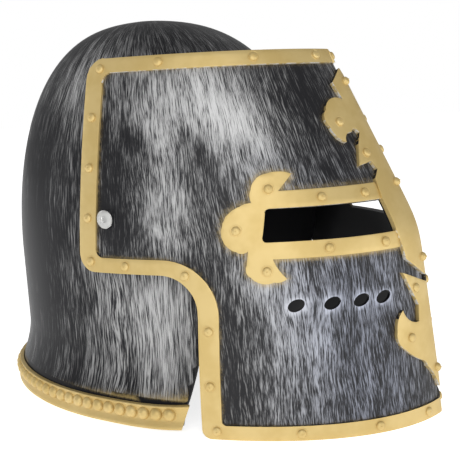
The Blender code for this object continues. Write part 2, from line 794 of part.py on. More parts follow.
def pivot_bore(cutters):
    """One straight bore through both sides of the visor and the skull."""
    bm = bmesh.new()
    turn = Matrix.Rotation(math.pi / 2, 4, "Y")
    place = Matrix.Translation(placed(Vector((0, PIVOT_Y, PIVOT_Z))))
    bore = (PIVOT_SHANK_RADIUS + GAP) / math.cos(math.pi / TURN_STEPS) * MM
    bmesh.ops.create_cone(bm, cap_ends=True, segments=TURN_STEPS, radius1=bore, radius2=bore,
                          depth=2.4 * SKULL_HALF_WIDTH * MM, matrix=place @ turn)
    return add_object("pivot_bore", bm, cutters, None)


def make_nape_band(group, cutters, finish):
    """The band's section carried round the foot of the skull from one cheek to the other."""
    inner, outer = NAPE_INSIDE, NAPE_OUTSET
    lip = outer + NAPE_LIP_REACH
    lip_top = NAPE_LIP_HEIGHT + 0.8
    shape = [(inner, 0), (lip, 0), (lip, NAPE_LIP_HEIGHT), (outer, lip_top), (outer, NAPE_HEIGHT)]
    shape += [(inner, NAPE_HEIGHT)]
    half_way = math.pi / 2 + math.radians(NAPE_END_ANGLE)
    bm = bmesh.new()
    stations = []
    for turn in np.linspace(-half_way, half_way, NAPE_STATIONS):
        ring = []
        for outset, z in shape:
            slant = 1 + NAPE_END_SLANT * (z / NAPE_HEIGHT - 0.5)
            x, y = plan(math.pi / 2 + turn * slant, outset, 0)
            ring.append(bm.verts.new(placed(Vector((x, y, z + cheek_lift(math.pi / 2 + turn))))))
        stations.append(ring)
    for here, there in zip(stations, stations[1:]):
        for index in range(len(shape)):
            following = (index + 1) % len(shape)
            bm.faces.new((here[index], here[following], there[following], there[index]))
    bm.faces.new(stations[0])
    bm.faces.new(stations[-1])
    bmesh.ops.recalc_face_normals(bm, faces=bm.faces)
    band = add_object("nape_band", bm, group, finish, 30)
    boolean(band, nape_beads(outer, cutters), "UNION")
    return band


def nape_beads(outer, cutters):
    """Beads a pitch apart along the band, the middle one at the very back."""
    end = math.radians(NAPE_END_ANGLE)
    turns = np.linspace(-end, math.pi + end, 800)
    path = np.array([plan(turn, outer, 0) for turn in turns])
    way = np.append(0, np.cumsum(np.hypot(*np.diff(path, axis=0).T)))
    middle = way[-1] / 2
    count = int((middle - BEAD_RADIUS - 1) / BEAD_PITCH)
    bm = bmesh.new()
    for step in range(-count, count + 1):
        at = middle + step * BEAD_PITCH
        x, y = (float(np.interp(at, way, path[:, axis])) for axis in (0, 1))
        next_x, next_y = (float(np.interp(at + 1, way, path[:, axis])) for axis in (0, 1))
        out = Vector((next_y - y, x - next_x, 0)).normalized()
        turn = Vector((0, 0, 1)).rotation_difference(out).to_matrix().to_4x4()
        size = Matrix.Diagonal((BEAD_RADIUS * MM, BEAD_RADIUS * MM, (BEAD_RISE + HEAD_SINK) * MM, 1))
        level = BEAD_LEVEL + cheek_lift(float(np.interp(at, way, turns)))
        seat = Vector((x, y, level)) - out * HEAD_SINK
        add_head(bm, BEAD_SIDES, Matrix.Translation(placed(seat)) @ turn @ size)
    return add_object("beads", bm, cutters, None)


def make_pivot_rivets(group, finish):
    """A flat head outside, a shank through both plates and a foot inside the skull."""
    head_face = half_width(PIVOT_Z - PIVOT_HEAD_RADIUS) + GAP
    narrowest = skull_half_width(PIVOT_Y - PIVOT_FOOT_RADIUS, PIVOT_Z + PIVOT_FOOT_RADIUS)
    foot_face = narrowest - 1.1 * SKULL_WALL - GAP
    head, foot, shank = PIVOT_HEAD_RADIUS, PIVOT_FOOT_RADIUS, PIVOT_SHANK_RADIUS
    top = head_face + PIVOT_HEAD_THICKNESS
    profile = [(0, top), (head - 0.6, top), (head, top - 0.6), (head, head_face), (shank, head_face),
               (shank, foot_face), (foot, foot_face), (foot, foot_face - PIVOT_FOOT_THICKNESS),
               (0, foot_face - PIVOT_FOOT_THICKNESS)]
    rivets = []
    for side, sign in (("right", -1), ("left", 1)):
        bm = bmesh.new()
        chain = [bm.verts.new(Vector((radius, 0, height)) * MM) for radius, height in profile]
        for here, there in zip(chain, chain[1:]):
            bm.edges.new((here, there))
        rivet = add_object("pivot_rivet_" + side, bm, group, finish)
        turned = rivet.modifiers.new("turned", "SCREW")
        turned.steps = TURN_STEPS
        turned.render_steps = TURN_STEPS
        turned.use_merge_vertices = True
        turned.merge_threshold = 0.00005
        rivet.location = placed(Vector((0, PIVOT_Y, PIVOT_Z)))
        rivet.rotation_euler = (0, sign * math.pi / 2, 0)
        rivets.append(rivet)
    return rivets


def hang_visor(group, pieces):
    """Puts what lifts under one empty on the pivot axis."""
    hinge = bpy.data.objects.new("visor_hinge", None)
    group.objects.link(hinge)
    hinge.location = placed(Vector((0, PIVOT_Y, PIVOT_Z)))
    for piece in pieces:
        piece.parent = hinge
        piece.matrix_parent_inverse = Matrix.Translation(-hinge.location)


def main():
    clear_scene()
    helmet = collection("medieval_helmet")
    cutters = collection("cutters")
    iron = material("brushed_dark_iron", (0.10, 0.10, 0.11), 0.45, 0.3)
    visor_iron = material("brushed_visor_iron", (0.12, 0.12, 0.13), 0.45, 0.3)
    band_gold = material("band_gold", (0.72, 0.55, 0.24), 0.4, 0.5)
    border_gold = material("border_gold", (0.74, 0.57, 0.25), 0.4, 0.5)
    cross_gold = material("cross_gold", (0.72, 0.56, 0.25), 0.4, 0.5)
    clear = material("clear_plastic", (0.85, 0.85, 0.85), 0.15, 0.0, 0.5)
    bore = pivot_bore(cutters)
    make_skull(helmet, cutters, bore, iron)
    make_nape_band(helmet, cutters, band_gold)
    make_pivot_rivets(helmet, clear)
    lifted = [
        make_visor(helmet, cutters, bore, visor_iron),
        make_border(helmet, cutters, border_gold),
        *make_cross(helmet, cutters, cross_gold),
        make_spine(helmet, cutters, cross_gold),
        make_lower_fleur(helmet, cutters, cross_gold),
    ]
    hang_visor(helmet, lifted)


main()
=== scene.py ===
"""Looks for a medieval costume helmet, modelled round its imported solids.

Sizes are in millimetres in the helmet's own layout, with y measured from the hip line of the visor,
and they become metres when a piece is placed. The visor and its gold trims are drawn on a flat sheet
first: s is the way round from the keel and z the height. Each flat piece is then bent round the visor.
"""

import math

import bpy
import numpy as np
from mathutils import Matrix, Vector


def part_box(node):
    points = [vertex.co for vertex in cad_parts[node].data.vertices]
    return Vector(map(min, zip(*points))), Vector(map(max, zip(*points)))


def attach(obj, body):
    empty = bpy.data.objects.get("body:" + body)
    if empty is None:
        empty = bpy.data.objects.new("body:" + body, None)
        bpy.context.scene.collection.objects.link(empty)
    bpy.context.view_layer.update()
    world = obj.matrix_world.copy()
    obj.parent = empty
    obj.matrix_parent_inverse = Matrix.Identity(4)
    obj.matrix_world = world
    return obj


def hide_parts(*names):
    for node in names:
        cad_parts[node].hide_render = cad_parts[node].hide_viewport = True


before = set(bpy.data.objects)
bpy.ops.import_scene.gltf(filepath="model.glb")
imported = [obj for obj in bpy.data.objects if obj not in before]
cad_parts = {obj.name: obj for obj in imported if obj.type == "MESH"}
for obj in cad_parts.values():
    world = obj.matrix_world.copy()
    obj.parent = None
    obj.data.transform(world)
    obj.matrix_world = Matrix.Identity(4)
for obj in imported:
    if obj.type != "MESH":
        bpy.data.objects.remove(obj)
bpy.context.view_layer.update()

MM = 0.001

# Points closer than this many metres are one, also where a piece meets its mirror image
WELD = 0.00001
MIRROR_WELD = 0.00005
LEFT_FOR_RIGHT = Matrix.Scale(-1, 4, (1, 0, 0))

# The visor's form, as in the solids
VISOR_HEIGHT = 240.0
FOOT_REACH = 207.0
LOWER_LEAN = 0.13
UPPER_LEAN = 0.51
BEND_HEIGHT = 124.0
BEND_SOFTNESS = 5.0
FOOT_HALF_WIDTH = 108.0
TOP_HALF_WIDTH = 80.0
WAIST_FULLNESS = 9.0
KEEL_SHARPNESS = 14.0
SECTION_POWER = 1.95
PLATE = 2.5
SHEET_LENGTH = 340
HIP_LINE = 33.275

# The visor's edge and border
REAR_EDGE = 0.0
THROAT_EDGE = -82.5
SHOULDER_HEIGHT = 104.5
THROAT_RADIUS = 24.0
TOP_CORNER_RADIUS = 13.0
SHOULDER_CORNER_RADIUS = 12.0
FOOT_CORNER_RADIUS = 6.0
BORDER_SIDE = 12.5
BORDER_LEVEL = 9.5
BORDER_INNER_RADIUS = 6.0

# The cross round the eye slots
EYE_LEVEL = 134.0
SLOT_HEIGHT = 20.0
SLOT_REAR = -119.0
SLOT_CORNER = 2.5
BAR_HEIGHT = 10.0
SLOT_TOP = EYE_LEVEL + SLOT_HEIGHT / 2
SLOT_FOOT = EYE_LEVEL - SLOT_HEIGHT / 2
BAR_TOP = SLOT_TOP + BAR_HEIGHT
BAR_FOOT = SLOT_FOOT - BAR_HEIGHT
SIDE_FLEUR_REACH = 25.0
SIDE_FLEUR_HALF_HEIGHT = 32.0

# The spine over the keel and the fleurs at its ends
SPINE_HALF_WIDTH = 20.0
SPINE_POINT_DROP = 21.5
UPPER_FLEUR_HALF_WIDTH = 32.0
UPPER_FLEUR_TIP = VISOR_HEIGHT - BORDER_LEVEL - 4.5
UPPER_FLEUR_RISE = UPPER_FLEUR_TIP - BAR_TOP
LOWER_FLEUR_HALF_WIDTH = 32.0
LOWER_FLEUR_FOOT = BORDER_LEVEL + 8.0
LOWER_FLEUR_TOP = BAR_FOOT - SPINE_POINT_DROP - 4.5

# Breath holes
BREATH_LEVEL = 85.0
BREATH_PLACES = (37.0, 52.5, 71.5, 94.0)
BREATH_LENGTH = 11.5
BREATH_HEIGHT = 7.0
BREATH_TILT = -24.0

# How far the gold stands off the plate, and how deep it is sunk so that it looks moulded on
TRIM_LIFT = 1.7
SPINE_LIFT = 2.7
TRIM_ROOT = 0.3
TRIM_BEVEL = 0.5
SHARP_EDGE = 35.0

# A trim's side step is painted dark as shade where it faces up past the first rise of its face, and painted
# silver as a reflection of the bright floor where it faces down past the second
SHADE_RISE = 0.45
REFLECTION_RISE = -0.2

# Rivet heads
RIVET_RADIUS = 2.9
RIVET_RISE = 1.7
STUD_RADIUS = 3.0
STUD_RISE = 2.9
STUD_SINK = 0.6

# The skull
SKULL_HALF_WIDTH = 95.4
SKULL_BACK = 143.0
SKULL_FRONT = 95.0
CHEEK_FULLNESS = 1.0
SKULL_MIDDLE = -13.5
WALL_HEIGHT = 101.0
DOME_RISE = 168.5
DOME_SIDE_POWER = 2.8
DOME_BACK_POWER = 2.7
DOME_FRONT_POWER = 2.2
DOME_TOP_POWER = 2.0
DOME_DRIFT = 18.0
DOME_DRIFT_POWER = 1.8
BROW_SWELL = 28.0
SKULL_WALL = 2.5
FLARE = 8.0
FLARE_TOP = 46.0
FACE_OPENING = (
    (0.515, -0.15),
    (0.555, 0.0),
    (0.600, 0.16),
    (0.641, 0.35),
    (0.690, 0.60),
    (0.825, 0.85),
    (0.830, 1.08),
    (0.780, 1.31),
    (2.200, 1.31),
    (2.200, -0.15),
)

# The nape band and its beads
NAPE_HEIGHT = 15.5
NAPE_INSIDE = 8.3
NAPE_OUTSET = 11.15
NAPE_LIP_HEIGHT = 3.2
NAPE_LIP_REACH = 1.5
NAPE_END_ANGLE = 24.0
NAPE_END_SLANT = 0.033
CHEEK_LIFT = 4.5
BEAD_PITCH = 9.35
BEAD_RADIUS = 4.4
BEAD_RISE = 2.9
BEAD_LEVEL = 9.8

# The clear rivets that the visor turns on
PIVOT_Y = -20.0
PIVOT_Z = 138.8
PIVOT_HEAD = 1.8
PIVOT_FOOT = 1.4
PIVOT_SHANK_RADIUS = 2.4

# Fineness: the flat sheet's squares in millimetres, an arc's step in degrees, and counts of steps
SHEET_STEP = 3.0
ARC_STEP = 7.0
SECTION_STEPS = 600
DOME_STEPS = 400
BAND_STEPS = 800
SKULL_SEGMENTS = 144
SKULL_RINGS = 96
NAPE_STATIONS = 180
HEAD_STEPS = 24
BEAD_STEPS = 20
PIVOT_STEPS = 48
HOLE_STEPS = 24

# Millimetres to one unit of the sheets that the brush follows: the visor's both ways, the skull's
# upwards, and the skull's round its back to a radian
SHEET_UNIT = 100
SKULL_STROKES = 165
SKULL_ROUND = 115.0

# The fleurs' outlines: shares of their reach and half height or height, and how far the next side swells
SIDE_FLEUR = (
    (-0.24, 0.62, 0.0),
    (-0.46, 0.96, 0.05),
    (0.04, 0.99, 0.10),
    (0.33, 0.70, 0.03),
    (0.31, 0.46, 0.02),
    (0.55, 0.40, 0.105),
    (0.92, 0.00, 0.125),
    (0.56, -0.44, 0.05),
    (0.30, -0.43, 0.0),
    (0.33, -0.70, 0.06),
    (0.22, -0.93, 0.09),
    (-0.28, -1.03, 0.04),
    (-0.55, -0.97, -0.03),
    (-0.24, -0.62, 0.0),
)

UPPER_FLEUR = (
    (0.00, 1.00, 0.0),
    (0.40, 0.875, 0.0),
    (0.36, 0.72, 0.12),
    (0.90, 0.64, 0.07),
    (1.00, 0.50, 0.07),
    (0.80, 0.355, -0.06),
    (0.56, 0.435, -0.07),
    (0.36, 0.425, 0.0),
    (0.54, 0.33, 0.0),
    (0.78, 0.15, 0.0),
    (0.43, 0.175, 0.0),
    (0.37, 0.105, 0.0),
    (0.55, 0.03, 0.0),
)

LOWER_FLEUR = (
    (0.00, 0.88, 0.0),
    (0.67, 1.00, 0.0),
    (0.35, 0.72, 0.0),
    (0.40, 0.59, -0.10),
    (0.80, 0.71, 0.05),
    (1.00, 0.56, 0.07),
    (0.88, 0.40, 0.03),
    (0.41, 0.265, -0.02),
    (0.32, 0.21, -0.04),
    (0.00, 0.00, 0.0),
)
LOWER_FLEUR_RISE = (LOWER_FLEUR_TOP - LOWER_FLEUR_FOOT) / LOWER_FLEUR[0][1]


# The visor's surface, as a table with a row for each millimetre of height


def keel_reach(z):
    above = BEND_SOFTNESS * np.log1p(np.exp((z - BEND_HEIGHT) / BEND_SOFTNESS))
    return FOOT_REACH - LOWER_LEAN * z - (UPPER_LEAN - LOWER_LEAN) * above


def half_width(z):
    share = z / VISOR_HEIGHT
    straight = FOOT_HALF_WIDTH + (TOP_HALF_WIDTH - FOOT_HALF_WIDTH) * share
    return straight + WAIST_FULLNESS * 4 * share * (1 - share)


def visor_skin():
    heights = np.arange(0, VISOR_HEIGHT + 1)
    ways = np.arange(0, SHEET_LENGTH + 1)
    points = np.zeros((len(heights), len(ways), 3))
    power = 2 / SECTION_POWER
    for row, z in enumerate(heights):
        across = half_width(z) + KEEL_SHARPNESS
        start = math.asin((KEEL_SHARPNESS / across) ** (1 / power))
        along = keel_reach(z) / math.cos(start) ** power
        turn = np.linspace(start, math.pi / 2, SECTION_STEPS)
        x = -(across * np.sin(turn) ** power - KEEL_SHARPNESS)
        y = -along * np.clip(np.cos(turn), 0, 1) ** power
        x = np.append(x, x[-1])
        y = np.append(y, VISOR_HEIGHT)
        way = np.append(0, np.cumsum(np.hypot(np.diff(x), np.diff(y))))
        points[row, :, 0] = np.interp(ways, way, x)
        points[row, :, 1] = np.interp(ways, way, y)
        points[row, :, 2] = z
    up = np.gradient(points, axis=0)
    onward = np.gradient(points, axis=1)
    normals = np.cross(up, onward)
    normals /= np.linalg.norm(normals, axis=2, keepdims=True)
    return points, normals


SKIN, SKIN_NORMALS = visor_skin()
WAYS = np.arange(0, SHEET_LENGTH + 1)


def blended(table, s, z):
    column = np.clip(s.astype(int), 0, SHEET_LENGTH - 1)
    row = np.clip(z.astype(int), 0, int(VISOR_HEIGHT) - 1)
    right = (s - column)[:, None]
    up = (z - row)[:, None]
    low = table[row, column] * (1 - right) + table[row, column + 1] * right
    high = table[row + 1, column] * (1 - right) + table[row + 1, column + 1] * right
    return low * (1 - up) + high * up


def wrap(flat, stand_off):
    """Places points of the flat sheet on the visor, or off it along its normal."""
    flat = np.asarray(flat, float)
    s = np.clip(flat[:, 0], 0, SHEET_LENGTH - 1)
    z = np.clip(flat[:, 1], 0, VISOR_HEIGHT)
    points = blended(SKIN, s, z)
    normals = blended(SKIN_NORMALS, s, z)
    normals /= np.linalg.norm(normals, axis=1, keepdims=True)
    offset = normals * stand_off
    keel = s < 0.01
    mitre = normals.copy()
    mitre[:, 0] = 0
    length = np.sum(mitre ** 2, axis=1, keepdims=True)
    offset[keel] = (mitre * stand_off / length)[keel]
    return points + offset


def way_round(y, z):
    row = min(max(int(round(z)), 0), int(VISOR_HEIGHT))
    return float(np.interp(y, SKIN[row, :, 1], WAYS))


def placed(points):
    """From the helmet's own millimetres to metres, centred on the origin."""
    points = np.asarray(points, float).copy()
    points[..., 1] += HIP_LINE
    return points * MM


# Outlines


def bowed(points):
    """Turns corners with bows into a plain outline. A bow is how far the next side swells to its left."""
    outline = []
    for here, there in zip(points, points[1:] + points[:1]):
        start = Vector(here[:2])
        chord = Vector(there[:2]) - start
        outline.append(tuple(start))
        bow = here[2]
        if not bow:
            continue
        half = chord.length / 2
        spread = 2 * math.atan(abs(bow) / half)
        radius = half / math.sin(spread)
        along = chord.normalized()
        across = Vector((-along.y, along.x)) * math.copysign(1, bow)
        steps = max(2, math.ceil(math.degrees(2 * spread) / ARC_STEP))
        for step in range(1, steps):
            turn = -spread + 2 * spread * step / steps
            lift = radius * (math.cos(turn) - math.cos(spread))
            place = start + chord / 2 + along * radius * math.sin(turn) + across * lift
            outline.append(tuple(place))
    return outline


def corner(x, y, before, after, radius):
    start = (x - before[0] * radius, y - before[1] * radius)
    end = (x + after[0] * radius, y + after[1] * radius)
    turn = before[0] * after[1] - before[1] * after[0]
    bow = -turn * radius * (math.sqrt(2) - 1) / math.sqrt(2)
    return [(*start, bow), (*end, 0.0)]


def on_sheet(places):
    return [(way_round(y, z), z) for y, z in places]


def to_sheet(path):
    flat = []
    for here, there in zip(path, path[1:]):
        steps = max(1, math.ceil(math.dist(here, there) / SHEET_STEP))
        for step in range(steps):
            share = step / steps
            y = here[0] + (there[0] - here[0]) * share
            z = here[1] + (there[1] - here[1]) * share
            flat.append((way_round(y, z), z))
    flat.append((way_round(*path[-1]), path[-1][1]))
    return flat


def edge_path(inset_side, inset_level, shrink):
    """The visor's edge from the keel's foot round the back to the keel's top, on the flat sheet."""
    rear = REAR_EDGE - inset_side
    throat = THROAT_EDGE - inset_side
    foot = inset_level
    shoulder = SHOULDER_HEIGHT + inset_level
    top = VISOR_HEIGHT - inset_level
    inner = BORDER_INNER_RADIUS
    up, back, ahead = (0, 1), (1, 0), (-1, 0)
    points = [(-keel_reach(foot), foot, 0.0)]
    points += corner(throat, foot, back, up, inner / 2 if shrink else FOOT_CORNER_RADIUS)
    points += corner(throat, shoulder, up, back, THROAT_RADIUS + shrink)
    points += corner(rear, shoulder, back, up, inner if shrink else SHOULDER_CORNER_RADIUS)
    points += corner(rear, top, up, ahead, inner if shrink else TOP_CORNER_RADIUS)
    points += [(-keel_reach(top), top, 0.0)]
    return to_sheet(bowed(points))


def breath_hole(s, count):
    """A leaning ellipse, at one of the places round from the keel."""
    lean = math.radians(BREATH_TILT)
    turns = np.linspace(0, 2 * math.pi, count, endpoint=False)
    along = BREATH_LENGTH / 2 * np.cos(turns)
    over = BREATH_HEIGHT / 2 * np.sin(turns)
    across = s + along * math.cos(lean) - over * math.sin(lean)
    rise = BREATH_LEVEL + along * math.sin(lean) + over * math.cos(lean)
    return list(zip(across, rise))


def border_outline():
    inner = edge_path(BORDER_SIDE, BORDER_LEVEL, (BORDER_SIDE + BORDER_LEVEL) / 2)
    return edge_path(0, 0, 0) + inner[::-1]


def spine_outline():
    rise, wide = UPPER_FLEUR_RISE, UPPER_FLEUR_HALF_WIDTH
    points = [(across * wide, BAR_TOP + up * rise, bow * wide) for across, up, bow in UPPER_FLEUR]
    points += [
        (SPINE_HALF_WIDTH, SLOT_TOP, 0.0),
        (SPINE_HALF_WIDTH, SLOT_FOOT, 0.0),
        (0.84 * SPINE_HALF_WIDTH, BAR_FOOT - 0.39 * SPINE_POINT_DROP, 0.0),
        (0.0, BAR_FOOT - SPINE_POINT_DROP, 0.0),
    ]
    return bowed(points)


def lower_fleur_outline():
    rise, wide = LOWER_FLEUR_RISE, LOWER_FLEUR_HALF_WIDTH
    points = [(across * wide, LOWER_FLEUR_FOOT + up * rise, bow * wide) for across, up, bow in LOWER_FLEUR]
    return bowed(points)


def cross_outline():
    """One bar above the slot and one below, joined behind it by the rear fleur."""
    front = SPINE_HALF_WIDTH - 1
    fleur = [(SLOT_REAR + back * SIDE_FLEUR_REACH, EYE_LEVEL - 1 + up * SIDE_FLEUR_HALF_HEIGHT,
              bow * SIDE_FLEUR_REACH) for back, up, bow in SIDE_FLEUR]
    fleur[0] = (fleur[0][0], BAR_TOP, fleur[0][2])
    fleur[-1] = (fleur[-1][0], BAR_FOOT, 0.0)
    slot = corner(SLOT_REAR, SLOT_FOOT, (1, 0), (0, 1), SLOT_CORNER)
    slot += corner(SLOT_REAR, SLOT_TOP, (0, 1), (-1, 0), SLOT_CORNER)
    front_foot = [(front, BAR_FOOT), (front, SLOT_FOOT)]
    front_top = [(front, SLOT_TOP), (front, BAR_TOP)]
    return on_sheet(bowed(fleur)) + front_foot + on_sheet(bowed(slot)) + front_top


def slot_outline():
    rear = corner(SLOT_REAR, SLOT_TOP, (1, 0), (0, -1), SLOT_CORNER)
    rear += corner(SLOT_REAR, SLOT_FOOT, (0, -1), (-1, 0), SLOT_CORNER)
    front = SPINE_HALF_WIDTH - 1
    return on_sheet(bowed(rear)) + [(front, SLOT_FOOT), (front, SLOT_TOP)]


# Rivet places, as s and z on the flat sheet


def border_rivets():
    side = BORDER_SIDE / 2
    level = BORDER_LEVEL / 2
    top = VISOR_HEIGHT - level
    rear = REAR_EDGE - side
    throat = THROAT_EDGE - side
    reach = keel_reach(top) + rear
    foot_reach = keel_reach(level) + throat
    upright = VISOR_HEIGHT - SHOULDER_HEIGHT
    spots = [(rear - 4, top - 2), (rear - 0.345 * reach, top), (rear - 0.755 * reach, top)]
    spots += [(rear, SHOULDER_HEIGHT + share * upright) for share in (0.725, 0.49, 0.255)]
    spots += [(rear - 2.5, SHOULDER_HEIGHT + level + 2), (rear - 28.5, SHOULDER_HEIGHT + level)]
    spots += [(throat + 14, SHOULDER_HEIGHT), (throat, 0.67 * SHOULDER_HEIGHT)]
    spots += [(throat, 0.335 * SHOULDER_HEIGHT), (throat - 3, level + 1)]
    spots += [(throat - share * foot_reach, level) for share in (0.44, 0.78)]
    near_keel = 14.0
    return on_sheet(spots) + [(near_keel, top), (near_keel, level)]


def cross_rivets():
    bar = (SLOT_HEIGHT + BAR_HEIGHT) / 2
    side = [(SLOT_REAR + 0.60 * SIDE_FLEUR_REACH, EYE_LEVEL - 2.5),
            (SLOT_REAR - 0.04 * SIDE_FLEUR_REACH, EYE_LEVEL - 1 + 0.70 * SIDE_FLEUR_HALF_HEIGHT),
            (SLOT_REAR - 0.12 * SIDE_FLEUR_REACH, EYE_LEVEL - 1 - 0.82 * SIDE_FLEUR_HALF_HEIGHT)]
    places = on_sheet(side)
    length = way_round(SLOT_REAR, EYE_LEVEL) - SPINE_HALF_WIDTH
    places += [(SPINE_HALF_WIDTH + share * length, EYE_LEVEL + bar) for share in (0.12, 0.48)]
    places += [(SPINE_HALF_WIDTH + share * length, EYE_LEVEL - bar) for share in (0.12, 0.58)]
    return places


def spine_rivets():
    rise, wide = UPPER_FLEUR_RISE, UPPER_FLEUR_HALF_WIDTH
    return [(0.72 * wide, BAR_TOP + 0.53 * rise), (0.44 * wide, BAR_TOP + 0.25 * rise)]


def spine_studs():
    top = BAR_TOP + 0.88 * UPPER_FLEUR_RISE
    return [(0.0, top), (0.0, BAR_TOP - 0.22 * BAR_HEIGHT), (0.0, BAR_FOOT - 0.46 * SPINE_POINT_DROP)]


def lower_fleur_rivets():
    rise, wide = LOWER_FLEUR_RISE, LOWER_FLEUR_HALF_WIDTH
    return [(0.36 * wide, LOWER_FLEUR_FOOT + 0.86 * rise), (0.67 * wide, LOWER_FLEUR_FOOT + 0.48 * rise)]


def lower_fleur_stud():
    return [(0.0, LOWER_FLEUR_FOOT + 0.16 * LOWER_FLEUR_RISE)]


# Modelling by hand


def pick(target):
    bpy.ops.object.select_all(action="DESELECT")
    target.select_set(True)
    bpy.context.view_layer.objects.active = target


def primitive(name, add, **settings):
    """Adds one of Blender's starting shapes, with nothing else selected."""
    bpy.ops.object.select_all(action="DESELECT")
    add(**settings)
    bpy.context.object.name = name
    return bpy.context.object


def open_mesh(action="SELECT"):
    bpy.ops.object.mode_set(mode="EDIT")
    bpy.ops.mesh.select_all(action=action)


def close_mesh():
    bpy.ops.object.mode_set(mode="OBJECT")


def close_facing_out():
    bpy.ops.mesh.select_all(action="SELECT")
    bpy.ops.mesh.normals_make_consistent(inside=False)
    close_mesh()


def give(piece, *finishes):
    for finish in finishes:
        piece.data.materials.append(finish)


def discard(piece):
    bpy.data.objects.remove(piece, do_unlink=True)


def modify(piece, kind, settings):
    """Adds a modifier with its settings, and applies it."""
    modifier = piece.modifiers.new("step", kind)
    for key, value in settings.items():
        setattr(modifier, key, value)
    pick(piece)
    bpy.ops.object.modifier_apply(modifier=modifier.name)


def cut_away(piece, tool):
    modify(piece, "BOOLEAN", {"operation": "DIFFERENCE", "solver": "EXACT", "object": tool})
    discard(tool)


def points_of(mesh):
    points = np.zeros(len(mesh.vertices) * 3)
    mesh.vertices.foreach_get("co", points)
    return points.reshape(-1, 3)


def flat_piece(name, outline):
    """Fills an outline on the flat sheet and cuts the face into small squares, so that it can bend."""
    piece = primitive(name, bpy.ops.mesh.primitive_circle_add, vertices=len(outline), fill_type="NGON")
    for vertex, place in zip(piece.data.vertices, outline):
        vertex.co = (*place, 0.0)
    corners = np.array(outline)
    low, high = corners.min(0), corners.max(0)
    open_mesh()
    for axis in (0, 1):
        for place in np.arange(SHEET_STEP, high[axis], SHEET_STEP):
            if place <= low[axis]:
                continue
            at = [0.0, 0.0, 0.0]
            along = [0.0, 0.0, 0.0]
            at[axis] = place
            along[axis] = 1.0
            bpy.ops.mesh.select_all(action="SELECT")
            bpy.ops.mesh.bisect(plane_co=at, plane_no=along, threshold=0.02)
    close_mesh()
    return piece


def lay_sheet(mesh, sheet):
    """Keeps each point's place on the flat sheet as a UV map, with no face torn where the sheet meets."""
    layer = mesh.uv_layers[0] if mesh.uv_layers else mesh.uv_layers.new(name="sheet")
    layer.name = "sheet"
    loops = np.zeros(len(mesh.loops), int)
    mesh.loops.foreach_get("vertex_index", loops)
    uv = sheet[loops]
    for face in mesh.polygons:
        part = uv[face.loop_start:face.loop_start + face.loop_total]
        if part[:, 0].max() - part[:, 0].min() > math.pi:
            part[part[:, 0] < 0, 0] += 2 * math.pi * SKULL_ROUND / SHEET_UNIT
    layer.data.foreach_set("uv", uv.ravel())


def bend_round_visor(piece, stand_off):
    """Moves a flat piece's points on to the visor, and keeps the flat places as its UV map."""
    mesh = piece.data
    flat = points_of(mesh)[:, :2]
    flat[flat[:, 0] < 0.02, 0] = 0
    points = wrap(flat, stand_off)
    level = (flat[:, 1] < 0.01) | (flat[:, 1] > VISOR_HEIGHT - 0.01)
    points[level, 2] = flat[level, 1]
    mesh.vertices.foreach_set("co", placed(points).ravel())
    rows = np.clip(np.round(flat[:, 1]).astype(int), 0, int(VISOR_HEIGHT))
    hip = np.array([np.interp(REAR_EDGE, SKIN[row, :, 1], WAYS) for row in range(len(SKIN))])
    spread = flat[:, 0] / hip[rows] * hip[int(EYE_LEVEL)]
    lay_sheet(mesh, np.column_stack((spread, flat[:, 1])) / SHEET_UNIT)
    mesh.update()


def face_outwards(piece):
    pick(piece)
    open_mesh()
    close_facing_out()


def turn_towards_front(piece):
    """Makes an open sheet's faces look away from the inside of the visor."""
    mesh = piece.data
    biggest = max(mesh.polygons, key=lambda face: face.area)
    middle = Vector((0.0, HIP_LINE * MM, biggest.center.z))
    if biggest.normal.dot(biggest.center - middle) < 0:
        pick(piece)
        open_mesh()
        bpy.ops.mesh.flip_normals()
        close_mesh()


def mirror_across(piece):
    modify(piece, "MIRROR", {"use_mirror_merge": True, "merge_threshold": MIRROR_WELD,
                              "use_mirror_u": True})


def thicken(piece, thickness, inner_slot=0, rim_slot=0):
    modify(piece, "SOLIDIFY", {"thickness": thickness * MM, "offset": -1, "use_even_offset": True,
                               "material_offset": inner_slot, "material_offset_rim": rim_slot})


def soften_edges(piece, width):
    modify(piece, "BEVEL", {"width": width * MM, "segments": 2, "limit_method": "ANGLE",
                            "angle_limit": math.radians(SHARP_EDGE), "use_clamp_overlap": True})


def shade_smooth(piece, angle=30.0):
    pick(piece)
    bpy.ops.object.shade_smooth_by_angle(angle=math.radians(angle))


def spun(name, profile, steps):
    """Spins a profile of radii and heights round the upright axis."""
    piece = primitive(name, bpy.ops.mesh.primitive_circle_add, vertices=len(profile), fill_type="NOTHING")
    mesh = piece.data
    for vertex, (radius, height) in zip(mesh.vertices, profile):
        vertex.co = (radius, 0.0, height)
    open_mesh("DESELECT")
    close_mesh()
    for edge in mesh.edges:
        edge.select = abs(edge.vertices[0] - edge.vertices[1]) > 1
    bpy.ops.object.mode_set(mode="EDIT")
    bpy.ops.mesh.select_mode(type="EDGE")
    bpy.ops.mesh.delete(type="EDGE_FACE")
    bpy.ops.mesh.select_mode(type="VERT")
    bpy.ops.mesh.select_all(action="SELECT")
    bpy.ops.mesh.spin(steps=steps, angle=2 * math.pi, center=(0, 0, 0), axis=(0, 0, 1))
    bpy.ops.mesh.select_all(action="SELECT")
    bpy.ops.mesh.remove_doubles(threshold=WELD)
    close_facing_out()
    return piece


def copy_at(original, name, matrix):
    twin = original.copy()
    twin.data = original.data.copy()
    twin.name = name
    bpy.context.scene.collection.objects.link(twin)
    twin.data.transform(matrix)
    return twin


def join(target, others):
    pick(target)
    for other in others:
        other.select_set(True)
    bpy.ops.object.join()
    return target


